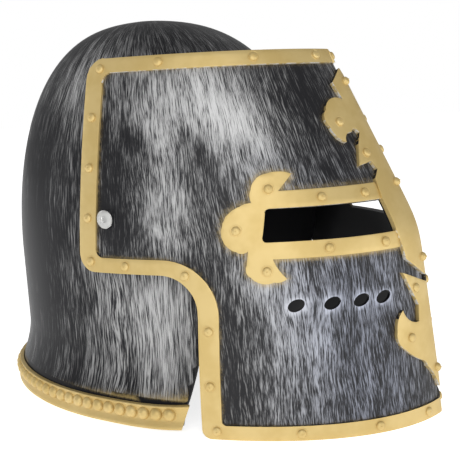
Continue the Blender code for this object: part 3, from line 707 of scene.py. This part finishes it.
def heads_at(original, places, lift, both_sides):
    """Copies of a rivet head standing on the gold at places of the flat sheet."""
    seats = placed(wrap(places, lift))
    above = placed(wrap(places, lift + 1))
    heads = []
    for seat, tip in zip(seats, above):
        out = Vector(tip - seat).normalized()
        for side in ((1, -1) if both_sides else (1,)):
            point = Vector((seat[0] * side, seat[1], seat[2]))
            towards = Vector((out.x * side, out.y, out.z))
            turn = Vector((0, 0, 1)).rotation_difference(towards).to_matrix().to_4x4()
            heads.append(copy_at(original, "head", Matrix.Translation(point) @ turn))
    return heads


# Materials


def new_tree(name):
    material = bpy.data.materials.new(name)
    material.use_nodes = True
    tree = material.node_tree
    return material, tree, tree.nodes["Principled BSDF"]


def fill(tree, node, values):
    """Sets a node's inputs, each to a plain value or to what another node puts out."""
    for key, value in values.items():
        if isinstance(value, bpy.types.NodeSocket):
            tree.links.new(value, node.inputs[key])
        else:
            node.inputs[key].default_value = value


def place_node(tree, kind, values=None, **settings):
    node = tree.nodes.new(kind)
    for key, value in settings.items():
        setattr(node, key, value)
    fill(tree, node, values or {})
    return node


def own_place(tree):
    return place_node(tree, "ShaderNodeTexCoord").outputs["Object"]


def painted(tree, name):
    return place_node(tree, "ShaderNodeAttribute", attribute_name=name).outputs["Fac"]


def bumped(tree, height, strength, distance):
    values = {"Height": height, "Strength": strength, "Distance": distance}
    return place_node(tree, "ShaderNodeBump", values).outputs["Normal"]


def maths(tree, operation, first, second=0.5, third=0.5, clamp=False):
    values = {0: first, 1: second, 2: third}
    return place_node(tree, "ShaderNodeMath", values, operation=operation, use_clamp=clamp).outputs[0]


def mixed(tree, share, first, second):
    values = {0: share, 6: first, 7: second}
    return place_node(tree, "ShaderNodeMix", values, data_type="RGBA").outputs[2]


def ramped(tree, value, low, high):
    values = {"Value": value, "From Min": low, "From Max": high}
    node = place_node(tree, "ShaderNodeMapRange", values, interpolation_type="SMOOTHSTEP")
    return node.outputs["Result"]


def noise(tree, vector, scale, detail, roughness):
    values = {"Vector": vector, "Scale": scale, "Detail": detail, "Roughness": roughness}
    return place_node(tree, "ShaderNodeTexNoise", values).outputs["Fac"]


def stretched(tree, vector, across, along, shift=0.0):
    values = {"Vector": vector, "Scale": (across, along, 1.0), "Location": (shift, shift, shift)}
    return place_node(tree, "ShaderNodeMapping", values).outputs["Vector"]


def new_group(name, inputs, outputs):
    group = bpy.data.node_groups.new(name, "ShaderNodeTree")
    for label, kind, value in inputs:
        socket = group.interface.new_socket(name=label, in_out="INPUT", socket_type=kind)
        if value is not None:
            socket.default_value = value
    for label, kind in outputs:
        group.interface.new_socket(name=label, in_out="OUTPUT", socket_type=kind)
    entry = group.nodes.new("NodeGroupInput")
    leave = group.nodes.new("NodeGroupOutput")
    return group, entry.outputs, leave.inputs


# The sizes of the brush's strokes: how many lie across and along a unit of the sheet, how far their
# pattern is shifted, and their roughness
BROAD_STROKES = (13.0, 2.4, 3.0, 0.6)
MIDDLE_STROKES = (115.0, 7.0, 7.0, 0.6)
FINE_STROKES = (230.0, 15.0, 11.0, 0.65)
GOLD_SPOTS = (90.0, 60.0, 0.0, 0.7)

# How far the strokes wander sideways, how uneven the paint lies, and how dense and bright it gets
WANDER = (3.0, 1.6)
SWAY = 0.10
UNEVENNESS = 0.9
MIDDLE_SHARE = 0.55
FINE_SHARE = 0.45
DENSITY = 0.20
LAID_FROM, LAID_TO = 0.455, 0.625
HAZE_FROM, HAZE_TO = 0.25, 1.6
BRIGHTNESS = 0.88
LEAST_BRIGHTNESS = 0.04


def streaks(tree, vector, across, along, shift, roughness):
    return noise(tree, stretched(tree, vector, across, along, shift), 1.0, 3.0, roughness)


def swing(tree, value, reach):
    """A value's distance from a half, times a reach."""
    return maths(tree, "MULTIPLY", maths(tree, "SUBTRACT", value, 0.5), reach)


def scaled(tree, value, factor, least, clamp=False):
    return maths(tree, "ADD", maths(tree, "MULTIPLY", value, factor), least, clamp=clamp)


def dry_brush_group():
    """Silver dragged with a nearly dry brush: fine broken strokes, denser and brighter with Amount."""
    group, given, out = new_group(
        "dry brush",
        [("Vector", "NodeSocketVector", None), ("Amount", "NodeSocketFloat", 0.5)],
        [("Strokes", "NodeSocketFloat"), ("Haze", "NodeSocketFloat")])
    vector = given["Vector"]
    sway = swing(group, noise(group, stretched(group, vector, *WANDER), 1.0, 2.0, 0.5), SWAY)
    push = place_node(group, "ShaderNodeCombineXYZ", {"X": sway}).outputs[0]
    swayed = place_node(group, "ShaderNodeVectorMath", {0: vector, 1: push}, operation="ADD").outputs[0]
    broad = streaks(group, swayed, *BROAD_STROKES)
    middle = streaks(group, swayed, *MIDDLE_STROKES)
    fine = streaks(group, swayed, *FINE_STROKES)
    amount = maths(group, "ADD", given["Amount"], swing(group, broad, UNEVENNESS))
    coarse = maths(group, "MULTIPLY", middle, MIDDLE_SHARE)
    weight = maths(group, "ADD", coarse, maths(group, "MULTIPLY", fine, FINE_SHARE))
    weight = maths(group, "ADD", weight, swing(group, amount, DENSITY))
    laid = ramped(group, weight, LAID_FROM, LAID_TO)
    bright = scaled(group, amount, BRIGHTNESS, LEAST_BRIGHTNESS, clamp=True)
    group.links.new(maths(group, "MULTIPLY", laid, bright), out["Strokes"])
    group.links.new(ramped(group, amount, HAZE_FROM, HAZE_TO), out["Haze"])
    return group


DRY_BRUSH = dry_brush_group()

CHARCOAL = (0.009, 0.009, 0.011, 1.0)
CHARCOAL_HAZE = (0.038, 0.038, 0.042, 1.0)
SILVER = (0.62, 0.62, 0.62, 1.0)
BLUE_SILVER = (0.47, 0.50, 0.60, 1.0)
FLOOR_GREY = (0.90, 0.90, 0.90, 1.0)
FLOOR_LIGHT = (0.94, 0.94, 0.94, 1.0)
WHITE = (1.0, 1.0, 1.0, 1.0)
CLEAR_TINT = (0.95, 0.95, 0.93, 1.0)
FLOOR_REFLECTION_SILVER = (0.80, 0.78, 0.72, 1.0)
GOLD = (0.66, 0.50, 0.215, 1.0)
DEEP_GOLD = (0.60, 0.44, 0.17, 1.0)
INSIDE_BLACK = (0.006, 0.006, 0.007, 1.0)


def brushed_iron(name, gloss, silver):
    """Near-black plastic with dragged silver, and gold dust where the trims were sprayed."""
    material, tree, shader = new_tree(name)
    sheet = place_node(tree, "ShaderNodeUVMap", uv_map="sheet").outputs["UV"]
    dust = painted(tree, "gold_dust")
    given = {"Vector": sheet, "Amount": painted(tree, "brush_and_painted_light")}
    brush = place_node(tree, "ShaderNodeGroup", given, node_tree=DRY_BRUSH).outputs
    strokes = brush["Strokes"]
    silver = mixed(tree, painted(tree, "blue"), SILVER, silver)
    iron = mixed(tree, strokes, mixed(tree, brush["Haze"], CHARCOAL, CHARCOAL_HAZE), silver)
    spots = streaks(tree, sheet, *GOLD_SPOTS)
    dusted = maths(tree, "MULTIPLY", dust, ramped(tree, maths(tree, "ADD", spots, dust), 0.55, 1.15))
    fill(tree, shader, {
        "Base Color": mixed(tree, dusted, iron, DEEP_GOLD),
        "Specular IOR Level": gloss,
        "Metallic": maths(tree, "MULTIPLY", strokes, 0.25),
        "Roughness": scaled(tree, strokes, 0.10, 0.40),
        "Normal": bumped(tree, strokes, 0.25, 0.0002),
    })
    return material


def gold_paint():
    """Sprayed gold with a soft mottle, a fine grain and a slow wave."""
    material, tree, shader = new_tree("gold paint")
    position = own_place(tree)
    mottle = noise(tree, position, 45.0, 3.0, 0.6)
    grain = noise(tree, position, 1600.0, 2.0, 0.6)
    wave = noise(tree, position, 160.0, 2.0, 0.5)
    height = scaled(tree, grain, 0.3, wave)
    fill(tree, shader, {
        "Base Color": mixed(tree, ramped(tree, mottle, 0.35, 0.65), GOLD, DEEP_GOLD),
        "Metallic": 0.55,
        "Roughness": scaled(tree, mottle, 0.12, 0.42),
        "Normal": bumped(tree, height, 0.35, 0.0002),
    })
    return material


def inside_black():
    material, tree, shader = new_tree("inside black")
    swirl = noise(tree, own_place(tree), 25.0, 3.0, 0.6)
    fill(tree, shader, {
        "Base Color": INSIDE_BLACK,
        "Specular IOR Level": 0.2,
        "Roughness": scaled(tree, swirl, 0.2, 0.3),
        "Normal": bumped(tree, swirl, 0.2, 0.001),
    })
    return material


def step_edge(name, speck, low, high, ground, fleck, metallic):
    """The step at a trim's side, flecked with a second colour."""
    material, tree, shader = new_tree(name)
    flecks = ramped(tree, noise(tree, own_place(tree), speck, 3.0, 0.6), low, high)
    colour = mixed(tree, flecks, ground, fleck)
    fill(tree, shader, {"Base Color": colour, "Roughness": 0.4, "Metallic": metallic})
    return material


def clear_plastic():
    material, tree, shader = new_tree("clear plastic")
    flow = noise(tree, own_place(tree), 220.0, 2.0, 0.5)
    fill(tree, shader, {
        "Base Color": CLEAR_TINT,
        "Transmission Weight": 0.6,
        "IOR": 1.49,
        "Roughness": scaled(tree, flow, 0.1, 0.04),
        "Normal": bumped(tree, flow, 0.2, 0.0003),
    })
    return material


def plain_floor():
    material, tree, shader = new_tree("pale floor")
    tone = noise(tree, own_place(tree), 3.0, 2.0, 0.5)
    fill(tree, shader, {
        "Base Color": mixed(tree, tone, FLOOR_GREY, FLOOR_LIGHT),
        "Roughness": 0.9,
        "Emission Color": WHITE,
        "Emission Strength": 0.8,
    })
    return material


VISOR_IRON = brushed_iron("brushed visor iron", 0.28, BLUE_SILVER)
SKULL_IRON = brushed_iron("brushed skull iron", 0.1, SILVER)
TRIM_GOLD = gold_paint()
INSIDE = inside_black()
# A step that faces up is painted black as shade, flecked with gold, and one that faces down is painted
# silver as a reflection of the bright floor
SHADE_PAINTED_EDGE = step_edge("painted shade edge", 300.0, 0.55, 0.75, CHARCOAL, DEEP_GOLD, 0.0)
FLOOR_REFLECTION_EDGE = step_edge("painted floor reflection edge", 240.0, 0.40, 0.62, DEEP_GOLD, FLOOR_REFLECTION_SILVER, 0.3)
CLEAR = clear_plastic()


# Painted places on the sheet


def distance_to(points, outline):
    """How far each point of the sheet is from an outline's edges, inside or out."""
    ring = np.array(outline + outline[:1])
    start, end = ring[:-1], ring[1:]
    side = end - start
    length = np.maximum(np.sum(side ** 2, axis=1), 1e-9)
    best = np.full(len(points), 1e9)
    for first, run, square in zip(start, side, length):
        share = np.clip(((points - first) @ run) / square, 0, 1)
        near = first + share[:, None] * run
        best = np.minimum(best, np.hypot(*(points - near).T))
    return best


def paint(piece, name, values):
    layer = piece.data.attributes.new(name, "FLOAT", "POINT")
    layer.data.foreach_set("value", values)


def patches(points, spots):
    """Soft-edged patches, each at a place with a half width, a half height and a strength."""
    total = np.zeros(len(points))
    for s, z, wide, high, strength in spots:
        total += strength * np.exp(-(((points[:, 0] - s) / wide) ** 2) - ((points[:, 1] - z) / high) ** 2)
    return total


# How far the gold dust reaches past each trim and how strong it is: border, cross, spine, lower fleur
TRIM_DUST = ((1.4, 0.45), (2.8, 0.62), (1.4, 0.35), (1.4, 0.35))

# The brush on the visor: its level, its extra at the breath holes' rims, and where the silver is blue
VISOR_BRUSHED = 0.5
RIM_BRUSHED = 0.5
RIM_REACH = 1.8
BLUE_MIDDLE, BLUE_REACH = 50, 70
BLUE_TOP, BLUE_FADE = 190, 90

# The brush on the skull: its level, less towards the crown from a way up, and none under the nape band and
# in a thin strip above it, a painted shade line in the gap between skull and band
SKULL_BRUSHED = 0.44
CROWN_LESS = 0.12
CROWN_FROM, CROWN_FADE = 235, 60
FOOT_LESS = 1.5
GAP_SHADE_REACH = 1.6

# The visor's patches, partly real brushing and partly painted highlight and painted shade where the light
# falls: way round from the keel, height, half sizes and strength
VISOR_BRUSH_AND_LIGHT_PATCHES = (
    (90.0, 200.0, 20.0, 36.0, 0.46),
    (122.0, 212.0, 24.0, 24.0, 0.32),
    (118.0, 176.0, 7.0, 14.0, -0.28),
    (140.0, 186.0, 10.0, 20.0, 0.25),
    (152.0, 156.0, 10.0, 20.0, 0.28),
    (167.0, 128.0, 10.0, 18.0, 0.30),
    (160.0, 189.0, 6.0, 9.0, -0.35),
    (182.0, 186.0, 12.0, 30.0, -0.30),
    (200.0, 140.0, 15.0, 30.0, -0.35),
    (34.0, 205.0, 22.0, 45.0, -0.34),
    (92.0, 62.0, 24.0, 45.0, 0.22),
    (142.0, 50.0, 12.0, 50.0, -0.26),
    (108.0, 100.0, 18.0, 16.0, 0.25),
    (46.0, 45.0, 16.0, 36.0, 0.02),
)

# The skull's patches, the same on both sides, partly real brushing and partly painted shade on the skull's
# side: way round from the back, way up, half sizes, strength
SKULL_BRUSH_AND_SHADE_PATCHES = (
    (112.0, 120.0, 34.0, 130.0, -0.42),
    (150.0, 235.0, 60.0, 36.0, 0.30),
    (210.0, 75.0, 34.0, 55.0, 0.40),
)


def make_visor():
    visor = flat_piece("visor_plate", edge_path(0, 0, 0))
    bend_round_visor(visor, 0)
    mirror_across(visor)
    turn_towards_front(visor)
    give(visor, VISOR_IRON, INSIDE)
    thicken(visor, PLATE, 1, 1)
    cut_openings(visor)
    flat = np.array([(way_round(vertex.co.y / MM - HIP_LINE, vertex.co.z / MM), vertex.co.z / MM)
                     for vertex in visor.data.vertices])
    trims = [border_outline(), cross_outline(), spine_outline(), lower_fleur_outline()]
    dust = np.zeros(len(flat))
    for outline, (reach, strength) in zip(trims, TRIM_DUST):
        dust = np.maximum(dust, strength * np.exp(-distance_to(flat, outline) / reach))
    # The brush amount carries the patches' painted highlight and painted shade along with the brushing
    brush_and_painted_light = VISOR_BRUSHED + patches(flat, VISOR_BRUSH_AND_LIGHT_PATCHES)
    for s in BREATH_PLACES:
        brush_and_painted_light += RIM_BRUSHED * np.exp(-distance_to(flat, breath_hole(s, 16)) / RIM_REACH)
    paint(visor, "gold_dust", dust)
    paint(visor, "brush_and_painted_light", brush_and_painted_light)
    near_keel = np.clip(1.2 - np.abs(flat[:, 0] - BLUE_MIDDLE) / BLUE_REACH, 0, 1)
    paint(visor, "blue", near_keel * np.clip((BLUE_TOP - flat[:, 1]) / BLUE_FADE, 0, 1))
    shade_smooth(visor)
    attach(visor, "face_plate")
    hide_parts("visor")


def cut_openings(visor):
    cutters = []
    for outline in [slot_outline()] + [breath_hole(s, HOLE_STEPS) for s in BREATH_PLACES]:
        cutter = flat_piece("cutter", outline)
        bend_round_visor(cutter, PLATE)
        turn_towards_front(cutter)
        thicken(cutter, 3 * PLATE)
        cutters += [cutter, copy_at(cutter, "cutter", LEFT_FOR_RIGHT)]
    tool = join(cutters[0], cutters[1:])
    face_outwards(tool)
    give(tool, VISOR_IRON, INSIDE)
    for face in tool.data.polygons:
        face.material_index = 1
    cut_away(visor, tool)


def finish_trim(piece, lift, node):
    """Gives a bent trim its depth and finishes: its side steps get painted shade facing up and a painted
    floor reflection facing down.
    """
    turn_towards_front(piece)
    give(piece, TRIM_GOLD, SHADE_PAINTED_EDGE, FLOOR_REFLECTION_EDGE)
    thicken(piece, lift + TRIM_ROOT, 0, 1)
    for face in piece.data.polygons:
        if face.material_index == 1 and face.normal.z < SHADE_RISE:
            face.material_index = 2 if face.normal.z < REFLECTION_RISE else 0
    soften_edges(piece, TRIM_BEVEL)
    shade_smooth(piece)
    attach(piece, "face_plate")
    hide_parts(node)


def rivet_head():
    """A low dome in a shallow ring, with the small pit that the mould's pin leaves in its middle."""
    r, h = RIVET_RADIUS * MM, RIVET_RISE * MM
    profile = [(0.0, h - 0.35 * MM), (0.22 * MM, h - 0.30 * MM), (0.40 * MM, h)]
    for step in range(1, 7):
        turn = step / 6 * math.pi / 2
        profile.append((r * (0.14 + 0.86 * math.sin(turn)), h * math.cos(turn) ** 0.8 if step < 6 else 0.0))
    profile += [(r, -0.25 * MM), (1.14 * r, -0.22 * MM), (1.28 * r, 0.06 * MM), (1.40 * r, -0.3 * MM)]
    head = spun("rivet", profile, HEAD_STEPS)
    give(head, TRIM_GOLD)
    shade_smooth(head, 40)
    return head


def make_border(rivet):
    border = flat_piece("visor_border_gold", border_outline())
    bend_round_visor(border, TRIM_LIFT)
    mirror_across(border)
    finish_trim(border, TRIM_LIFT, "visor_border")
    join(border, heads_at(rivet, border_rivets(), TRIM_LIFT, True))


def make_cross(rivet):
    for side in ("right", "left"):
        half = flat_piece("cross_" + side + "_gold", cross_outline())
        bend_round_visor(half, TRIM_LIFT)
        if side == "left":
            half.data.transform(LEFT_FOR_RIGHT)
        finish_trim(half, TRIM_LIFT, "cross_" + side)
        heads = heads_at(rivet, cross_rivets(), TRIM_LIFT, False)
        if side == "left":
            for head in heads:
                head.data.transform(LEFT_FOR_RIGHT)
                head.data.flip_normals()
        join(half, heads)


def make_keel_piece(node, outline, rivets, studs, rivet, stud):
    piece = flat_piece(node + "_gold", outline)
    bend_round_visor(piece, SPINE_LIFT)
    mirror_across(piece)
    finish_trim(piece, SPINE_LIFT, node)
    heads = heads_at(rivet, rivets, SPINE_LIFT, True)
    join(piece, heads + heads_at(stud, studs, SPINE_LIFT - STUD_SINK, False))


def keel_stud():
    """A stud on the keel: a wider dome with a pin nub."""
    r, h = STUD_RADIUS * MM, STUD_RISE * MM
    profile = [(0.0, h + 0.5 * MM), (0.35 * MM, h + 0.45 * MM), (0.5 * MM, h - 0.1 * MM)]
    for step in range(2, 8):
        turn = step / 7 * math.pi / 2
        profile.append((r * math.sin(turn), h * math.cos(turn) ** 0.8 if step < 7 else -0.5 * MM))
    stud = spun("stud", profile, HEAD_STEPS)
    give(stud, TRIM_GOLD)
    shade_smooth(stud, 40)
    return stud


# The skull


def flare_at(z):
    share = np.clip((FLARE_TOP - np.maximum(z, NAPE_HEIGHT)) / (FLARE_TOP - NAPE_HEIGHT), 0, 1)
    return FLARE * share ** 1.6


def plan(turn, outset, rise=0.0):
    """The skull's plan at a rise up the dome: half an ellipse behind, and a shorter, fuller half before."""
    fall = np.clip(np.cos(rise), 0, 1)
    behind = np.sin(turn) > 0
    side = SKULL_HALF_WIDTH * fall ** (2 / DOME_SIDE_POWER)
    front = (SKULL_FRONT + BROW_SWELL * np.sin(rise) ** 2) * fall ** (2 / DOME_FRONT_POWER)
    length = np.where(behind, SKULL_BACK * fall ** (2 / DOME_BACK_POWER), front)
    power = np.where(behind, 2.0, 2 + CHEEK_FULLNESS * fall ** 2)
    middle = SKULL_MIDDLE + DOME_DRIFT * (rise / (math.pi / 2)) ** DOME_DRIFT_POWER
    across = np.sign(np.cos(turn)) * np.abs(np.cos(turn)) ** (2 / power)
    along = np.sign(np.sin(turn)) * np.abs(np.sin(turn)) ** (2 / power)
    return (side + outset) * across, middle + (length + outset) * along


def cheek_lift(turn):
    """How far the foot of the skull and the nape band rises towards the cheeks."""
    off_back = np.abs((turn + math.pi / 2) % (2 * math.pi) - math.pi)
    return CHEEK_LIFT * np.minimum(off_back / (math.pi / 2 + math.radians(NAPE_END_ANGLE)), 1.2) ** 3


def skull_points(turn, level):
    """The skull's outer face: level runs from 0 at the foot to 1 at the wall's top and 2 at the crown."""
    rise = np.clip(level - 1, 0, 1) * math.pi / 2
    dome = WALL_HEIGHT + DOME_RISE * np.sin(rise) ** (2 / DOME_TOP_POWER)
    z = np.where(level < 1, level * WALL_HEIGHT, dome)
    x, y = plan(turn, flare_at(z), rise)
    foot = (0.3 + cheek_lift(turn)) * np.clip(1 - z / NAPE_HEIGHT, 0, 1)
    return np.column_stack((x, y, z + foot))


def make_skull():
    """A ball whose upper half becomes the dome and whose lower half becomes the wall."""
    skull = primitive("skull_shell", bpy.ops.mesh.primitive_uv_sphere_add,
                      segments=SKULL_SEGMENTS, ring_count=SKULL_RINGS, radius=1.0)
    mesh = skull.data
    co = points_of(mesh)
    fall = np.arccos(np.clip(co[:, 2], -1, 1)) / math.pi
    level = 2 - 2 * fall
    turn = np.arctan2(co[:, 1], co[:, 0])
    last_ring = 2 / SKULL_RINGS
    level = np.clip((level - last_ring) / (1 - last_ring), 0, None) * (level < 1) + level * (level >= 1)
    open_mesh("DESELECT")
    close_mesh()
    keep = co[:, 2] >= -0.9999
    for vertex, kept in zip(mesh.vertices, keep):
        vertex.select = not kept
    bpy.ops.object.mode_set(mode="EDIT")
    bpy.ops.mesh.delete(type="VERT")
    close_mesh()
    turn, level = turn[keep], level[keep]
    mesh.vertices.foreach_set("co", placed(skull_points(turn, level)).ravel())
    way = arc_from_foot(level)
    round_back = np.arctan2(np.cos(turn), np.sin(turn)) * SKULL_ROUND
    lay_sheet(mesh, np.column_stack((round_back / SHEET_UNIT, way / SKULL_STROKES)))
    # The patches add painted shade on the skull's side as well as brushing
    brush_and_painted_light = SKULL_BRUSHED + patches(np.column_stack((np.abs(round_back), way)), SKULL_BRUSH_AND_SHADE_PATCHES)
    brush_and_painted_light -= CROWN_LESS * np.clip((way - CROWN_FROM) / CROWN_FADE, 0, 1)
    foot = NAPE_HEIGHT + cheek_lift(turn)
    # No brushing under the band or just above it, and no gold dust in the first 1.2 mm above it: a painted
    # shade line in the gap between skull and band
    paint(skull, "brush_and_painted_light", brush_and_painted_light - FOOT_LESS * (way < foot + GAP_SHADE_REACH))
    above_band = np.maximum(way - foot, 0)
    near_cheek = np.clip((cheek_lift(turn) - 1.0) / CHEEK_LIFT, 0, 1)
    paint(skull, "gold_dust", 0.8 * np.exp(-above_band / (1.6 + 6 * near_cheek)) * (above_band > 1.2))
    give(skull, SKULL_IRON, INSIDE)
    thicken(skull, SKULL_WALL, 1, 1)
    cut_face_opening(skull)
    shade_smooth(skull)
    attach(skull, "shell")
    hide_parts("skull")


def arc_from_foot(level):
    """The way up the skull's back from its foot, for each level."""
    steps = np.linspace(0, 2, DOME_STEPS)
    line = skull_points(np.full(DOME_STEPS, math.pi / 2), steps)
    way = np.append(0, np.cumsum(np.linalg.norm(np.diff(line, axis=0), axis=1)))
    return np.interp(level, steps, way)


def cut_face_opening(skull):
    corners = [(SKULL_MIDDLE - ahead * SKULL_FRONT, up * EYE_LEVEL, 0.0) for ahead, up in FACE_OPENING]
    outline = bowed(corners)
    tool = primitive("face", bpy.ops.mesh.primitive_circle_add, vertices=len(outline), fill_type="NGON")
    half_width = 0.13
    for vertex, place in zip(tool.data.vertices, placed([(half_width / MM, y, z) for y, z in outline])):
        vertex.co = place
    open_mesh()
    bpy.ops.mesh.extrude_region_move(TRANSFORM_OT_translate={"value": (-2 * half_width, 0, 0)})
    close_facing_out()
    cut_away(skull, tool)


# The nape band


def make_nape_band():
    inner, outer = NAPE_INSIDE, NAPE_OUTSET
    lip = outer + NAPE_LIP_REACH
    section = [
        (inner, 0.0), (lip - 0.5, 0.0), (lip, 0.5),
        (lip, NAPE_LIP_HEIGHT - 1.4), (lip - 0.4, NAPE_LIP_HEIGHT - 0.6),
        (outer - 0.1, NAPE_LIP_HEIGHT + 1.4), (outer - 0.5, NAPE_LIP_HEIGHT + 2.8), (outer - 0.7, 11.0),
        (outer - 0.5, 13.0), (outer - 0.1, 14.2), (outer, NAPE_HEIGHT - 0.4), (outer - 0.4, NAPE_HEIGHT),
        (inner, NAPE_HEIGHT), (inner, 0.0),
    ]
    half_way = math.pi / 2 + math.radians(NAPE_END_ANGLE)
    band = primitive("nape_band_gold", bpy.ops.mesh.primitive_grid_add,
                     x_subdivisions=NAPE_STATIONS, y_subdivisions=len(section) - 1, size=2)
    mesh = band.data
    co = points_of(mesh)
    index = np.round((co[:, 1] + 1) / 2 * (len(section) - 1)).astype(int)
    outset = np.array([section[i][0] for i in index])
    height = np.array([section[i][1] for i in index])
    turn = co[:, 0] * half_way * (1 + NAPE_END_SLANT * (height / NAPE_HEIGHT - 0.5))
    x, y = plan(math.pi / 2 + turn, outset)
    height = height + cheek_lift(math.pi / 2 + turn)
    mesh.vertices.foreach_set("co", placed(np.column_stack((x, y, height))).ravel())
    open_mesh()
    bpy.ops.mesh.remove_doubles(threshold=WELD)
    bpy.ops.mesh.select_all(action="DESELECT")
    bpy.ops.mesh.select_non_manifold(extend=False)
    bpy.ops.mesh.edge_face_add()
    close_facing_out()
    give(band, TRIM_GOLD)
    shade_smooth(band, 35)
    join(band, nape_beads())
    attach(band, "shell")
    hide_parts("nape_band")


def nape_beads():
    profile = []
    for step in range(0, 7):
        turn = step / 6 * math.pi / 2
        profile.append((BEAD_RADIUS * MM * math.sin(turn), (BEAD_RISE + 1) * MM * math.cos(turn)))
    bead = spun("bead", profile, BEAD_STEPS)
    give(bead, TRIM_GOLD)
    shade_smooth(bead, 60)
    end = math.radians(NAPE_END_ANGLE)
    turns = np.linspace(-end, math.pi + end, BAND_STEPS)
    path = np.column_stack(plan(turns, NAPE_OUTSET - 1.0))
    way = np.append(0, np.cumsum(np.hypot(*np.diff(path, axis=0).T)))
    middle = way[-1] / 2
    count = int((middle - BEAD_RADIUS - 1) / BEAD_PITCH)
    beads = []
    for step in range(-count, count + 1):
        at = middle + step * BEAD_PITCH
        x, y = (float(np.interp(at, way, path[:, axis])) for axis in (0, 1))
        next_x, next_y = (float(np.interp(at + 1, way, path[:, axis])) for axis in (0, 1))
        out = Vector((next_y - y, x - next_x, 0)).normalized()
        turn = Vector((0, 0, 1)).rotation_difference(out).to_matrix().to_4x4()
        level = BEAD_LEVEL + float(cheek_lift(np.interp(at, way, turns)))
        seat = Vector(placed((x, y, level)))
        beads.append(copy_at(bead, "bead", Matrix.Translation(seat) @ turn))
    discard(bead)
    return beads


# The clear rivets


def make_pivot_rivets():
    low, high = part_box("pivot_rivet_left")
    top = high.x / MM
    foot = low.x / MM
    head_face = top - PIVOT_HEAD
    foot_face = foot + PIVOT_FOOT
    shank = PIVOT_SHANK_RADIUS
    profile = [(0.0, top - 0.9), (1.6, top - 0.9), (2.0, top - 0.1), (4.6, top - 0.1), (5.4, top - 0.4),
               (6.0, top - 1.0), (5.9, head_face), (shank, head_face), (shank, foot_face),
               (5.0, foot_face), (5.0, foot + 0.4), (4.6, foot), (0.0, foot)]
    profile = [(radius * MM, height * MM) for radius, height in profile]
    middle = Vector(placed((0, PIVOT_Y, PIVOT_Z)))
    for side, sign in (("right", -1), ("left", 1)):
        rivet = spun("pivot_rivet_" + side + "_clear", profile, PIVOT_STEPS)
        turn = Matrix.Rotation(sign * math.pi / 2, 4, "Y")
        rivet.data.transform(Matrix.Translation(middle) @ turn)
        give(rivet, CLEAR)
        shade_smooth(rivet, 30)
        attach(rivet, "shell")
        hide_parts("pivot_rivet_" + side)


# Camera, floor and light

# Where the camera stands and looks, in degrees and millimetres, and its picture
VIEW_TURN = 60.0
VIEW_RISE = 10.23
VIEW_ROLL = -2.79
VIEW_LEVEL = 110.3
VIEW_ASIDE = 46.0
VIEW_DISTANCE = 561.7
SENSOR = 36.0
FOCAL_PIXELS = 720.25
PICTURE_PIXELS = 460.0

# Each light's name, place, size and power, with all of them turned to the helmet's middle
LIGHTS = (
    ("key", (-0.9, -0.5, 0.5), (0.7, 0.7), 3.4),
    ("front", (-0.1, -1.2, 0.12), (0.8, 0.4), 1.8),
    ("rim", (-0.5, 1.1, 0.5), (0.3, 0.9), 1.4),
)
LIGHT_AIM = (0, 0, 0.13)
ROOM_STRENGTH = 0.42
FLOOR_SIZE = 12.0


def look_from():
    turn, rise, roll = (math.radians(angle) for angle in (VIEW_TURN, VIEW_RISE, VIEW_ROLL))
    back = Vector((-math.sin(turn) * math.cos(rise), -math.cos(turn) * math.cos(rise), math.sin(rise)))
    right = (-back).cross(Vector((0, 0, 1))).normalized()
    up = right.cross(-back)
    right_rolled = right * math.cos(roll) + up * math.sin(roll)
    up_rolled = up * math.cos(roll) - right * math.sin(roll)
    aim = Vector((0, 0, VIEW_LEVEL)) + right * VIEW_ASIDE
    eye = aim + back * VIEW_DISTANCE
    data = bpy.data.cameras.new("camera")
    data.sensor_width = SENSOR
    data.lens = SENSOR * FOCAL_PIXELS / PICTURE_PIXELS
    camera = bpy.data.objects.new("camera", data)
    bpy.context.scene.collection.objects.link(camera)
    turned = Matrix((right_rolled, up_rolled, back)).transposed().to_4x4()
    camera.matrix_world = Matrix.Translation(Vector(placed(eye))) @ turned
    bpy.context.scene.camera = camera


def lay_floor():
    floor = primitive("floor", bpy.ops.mesh.primitive_plane_add, size=FLOOR_SIZE, location=(0, 0, 0))
    give(floor, plain_floor())


def light_studio():
    """A soft white room, seen as plain white, with three broad lights."""
    world = bpy.data.worlds.new("studio")
    world.use_nodes = True
    tree = world.node_tree
    room = tree.nodes["Background"]
    fill(tree, room, {"Color": WHITE, "Strength": ROOM_STRENGTH})
    seen = place_node(tree, "ShaderNodeBackground", {"Color": WHITE, "Strength": 1.0})
    by_camera = place_node(tree, "ShaderNodeLightPath").outputs["Is Camera Ray"]
    shaders = {0: by_camera, 1: room.outputs[0], 2: seen.outputs[0]}
    either = place_node(tree, "ShaderNodeMixShader", shaders)
    fill(tree, tree.nodes["World Output"], {"Surface": either.outputs[0]})
    bpy.context.scene.world = world
    bpy.context.scene.view_settings.view_transform = "Standard"
    for name, place, size, power in LIGHTS:
        data = bpy.data.lights.new(name, "AREA")
        data.shape = "RECTANGLE"
        data.size, data.size_y = size
        data.energy = power
        light = bpy.data.objects.new(name, data)
        bpy.context.scene.collection.objects.link(light)
        light.location = place
        towards = Vector(LIGHT_AIM) - Vector(place)
        light.rotation_euler = towards.to_track_quat("-Z", "Y").to_euler()


make_visor()
RIVET = rivet_head()
STUD = keel_stud()
make_border(RIVET)
make_cross(RIVET)
make_keel_piece("keel_spine", spine_outline(), spine_rivets(), spine_studs(), RIVET, STUD)
make_keel_piece("lower_fleur", lower_fleur_outline(), lower_fleur_rivets(), lower_fleur_stud(), RIVET, STUD)
discard(RIVET)
discard(STUD)
make_skull()
make_nape_band()
make_pivot_rivets()
look_from()
lay_floor()
light_studio()
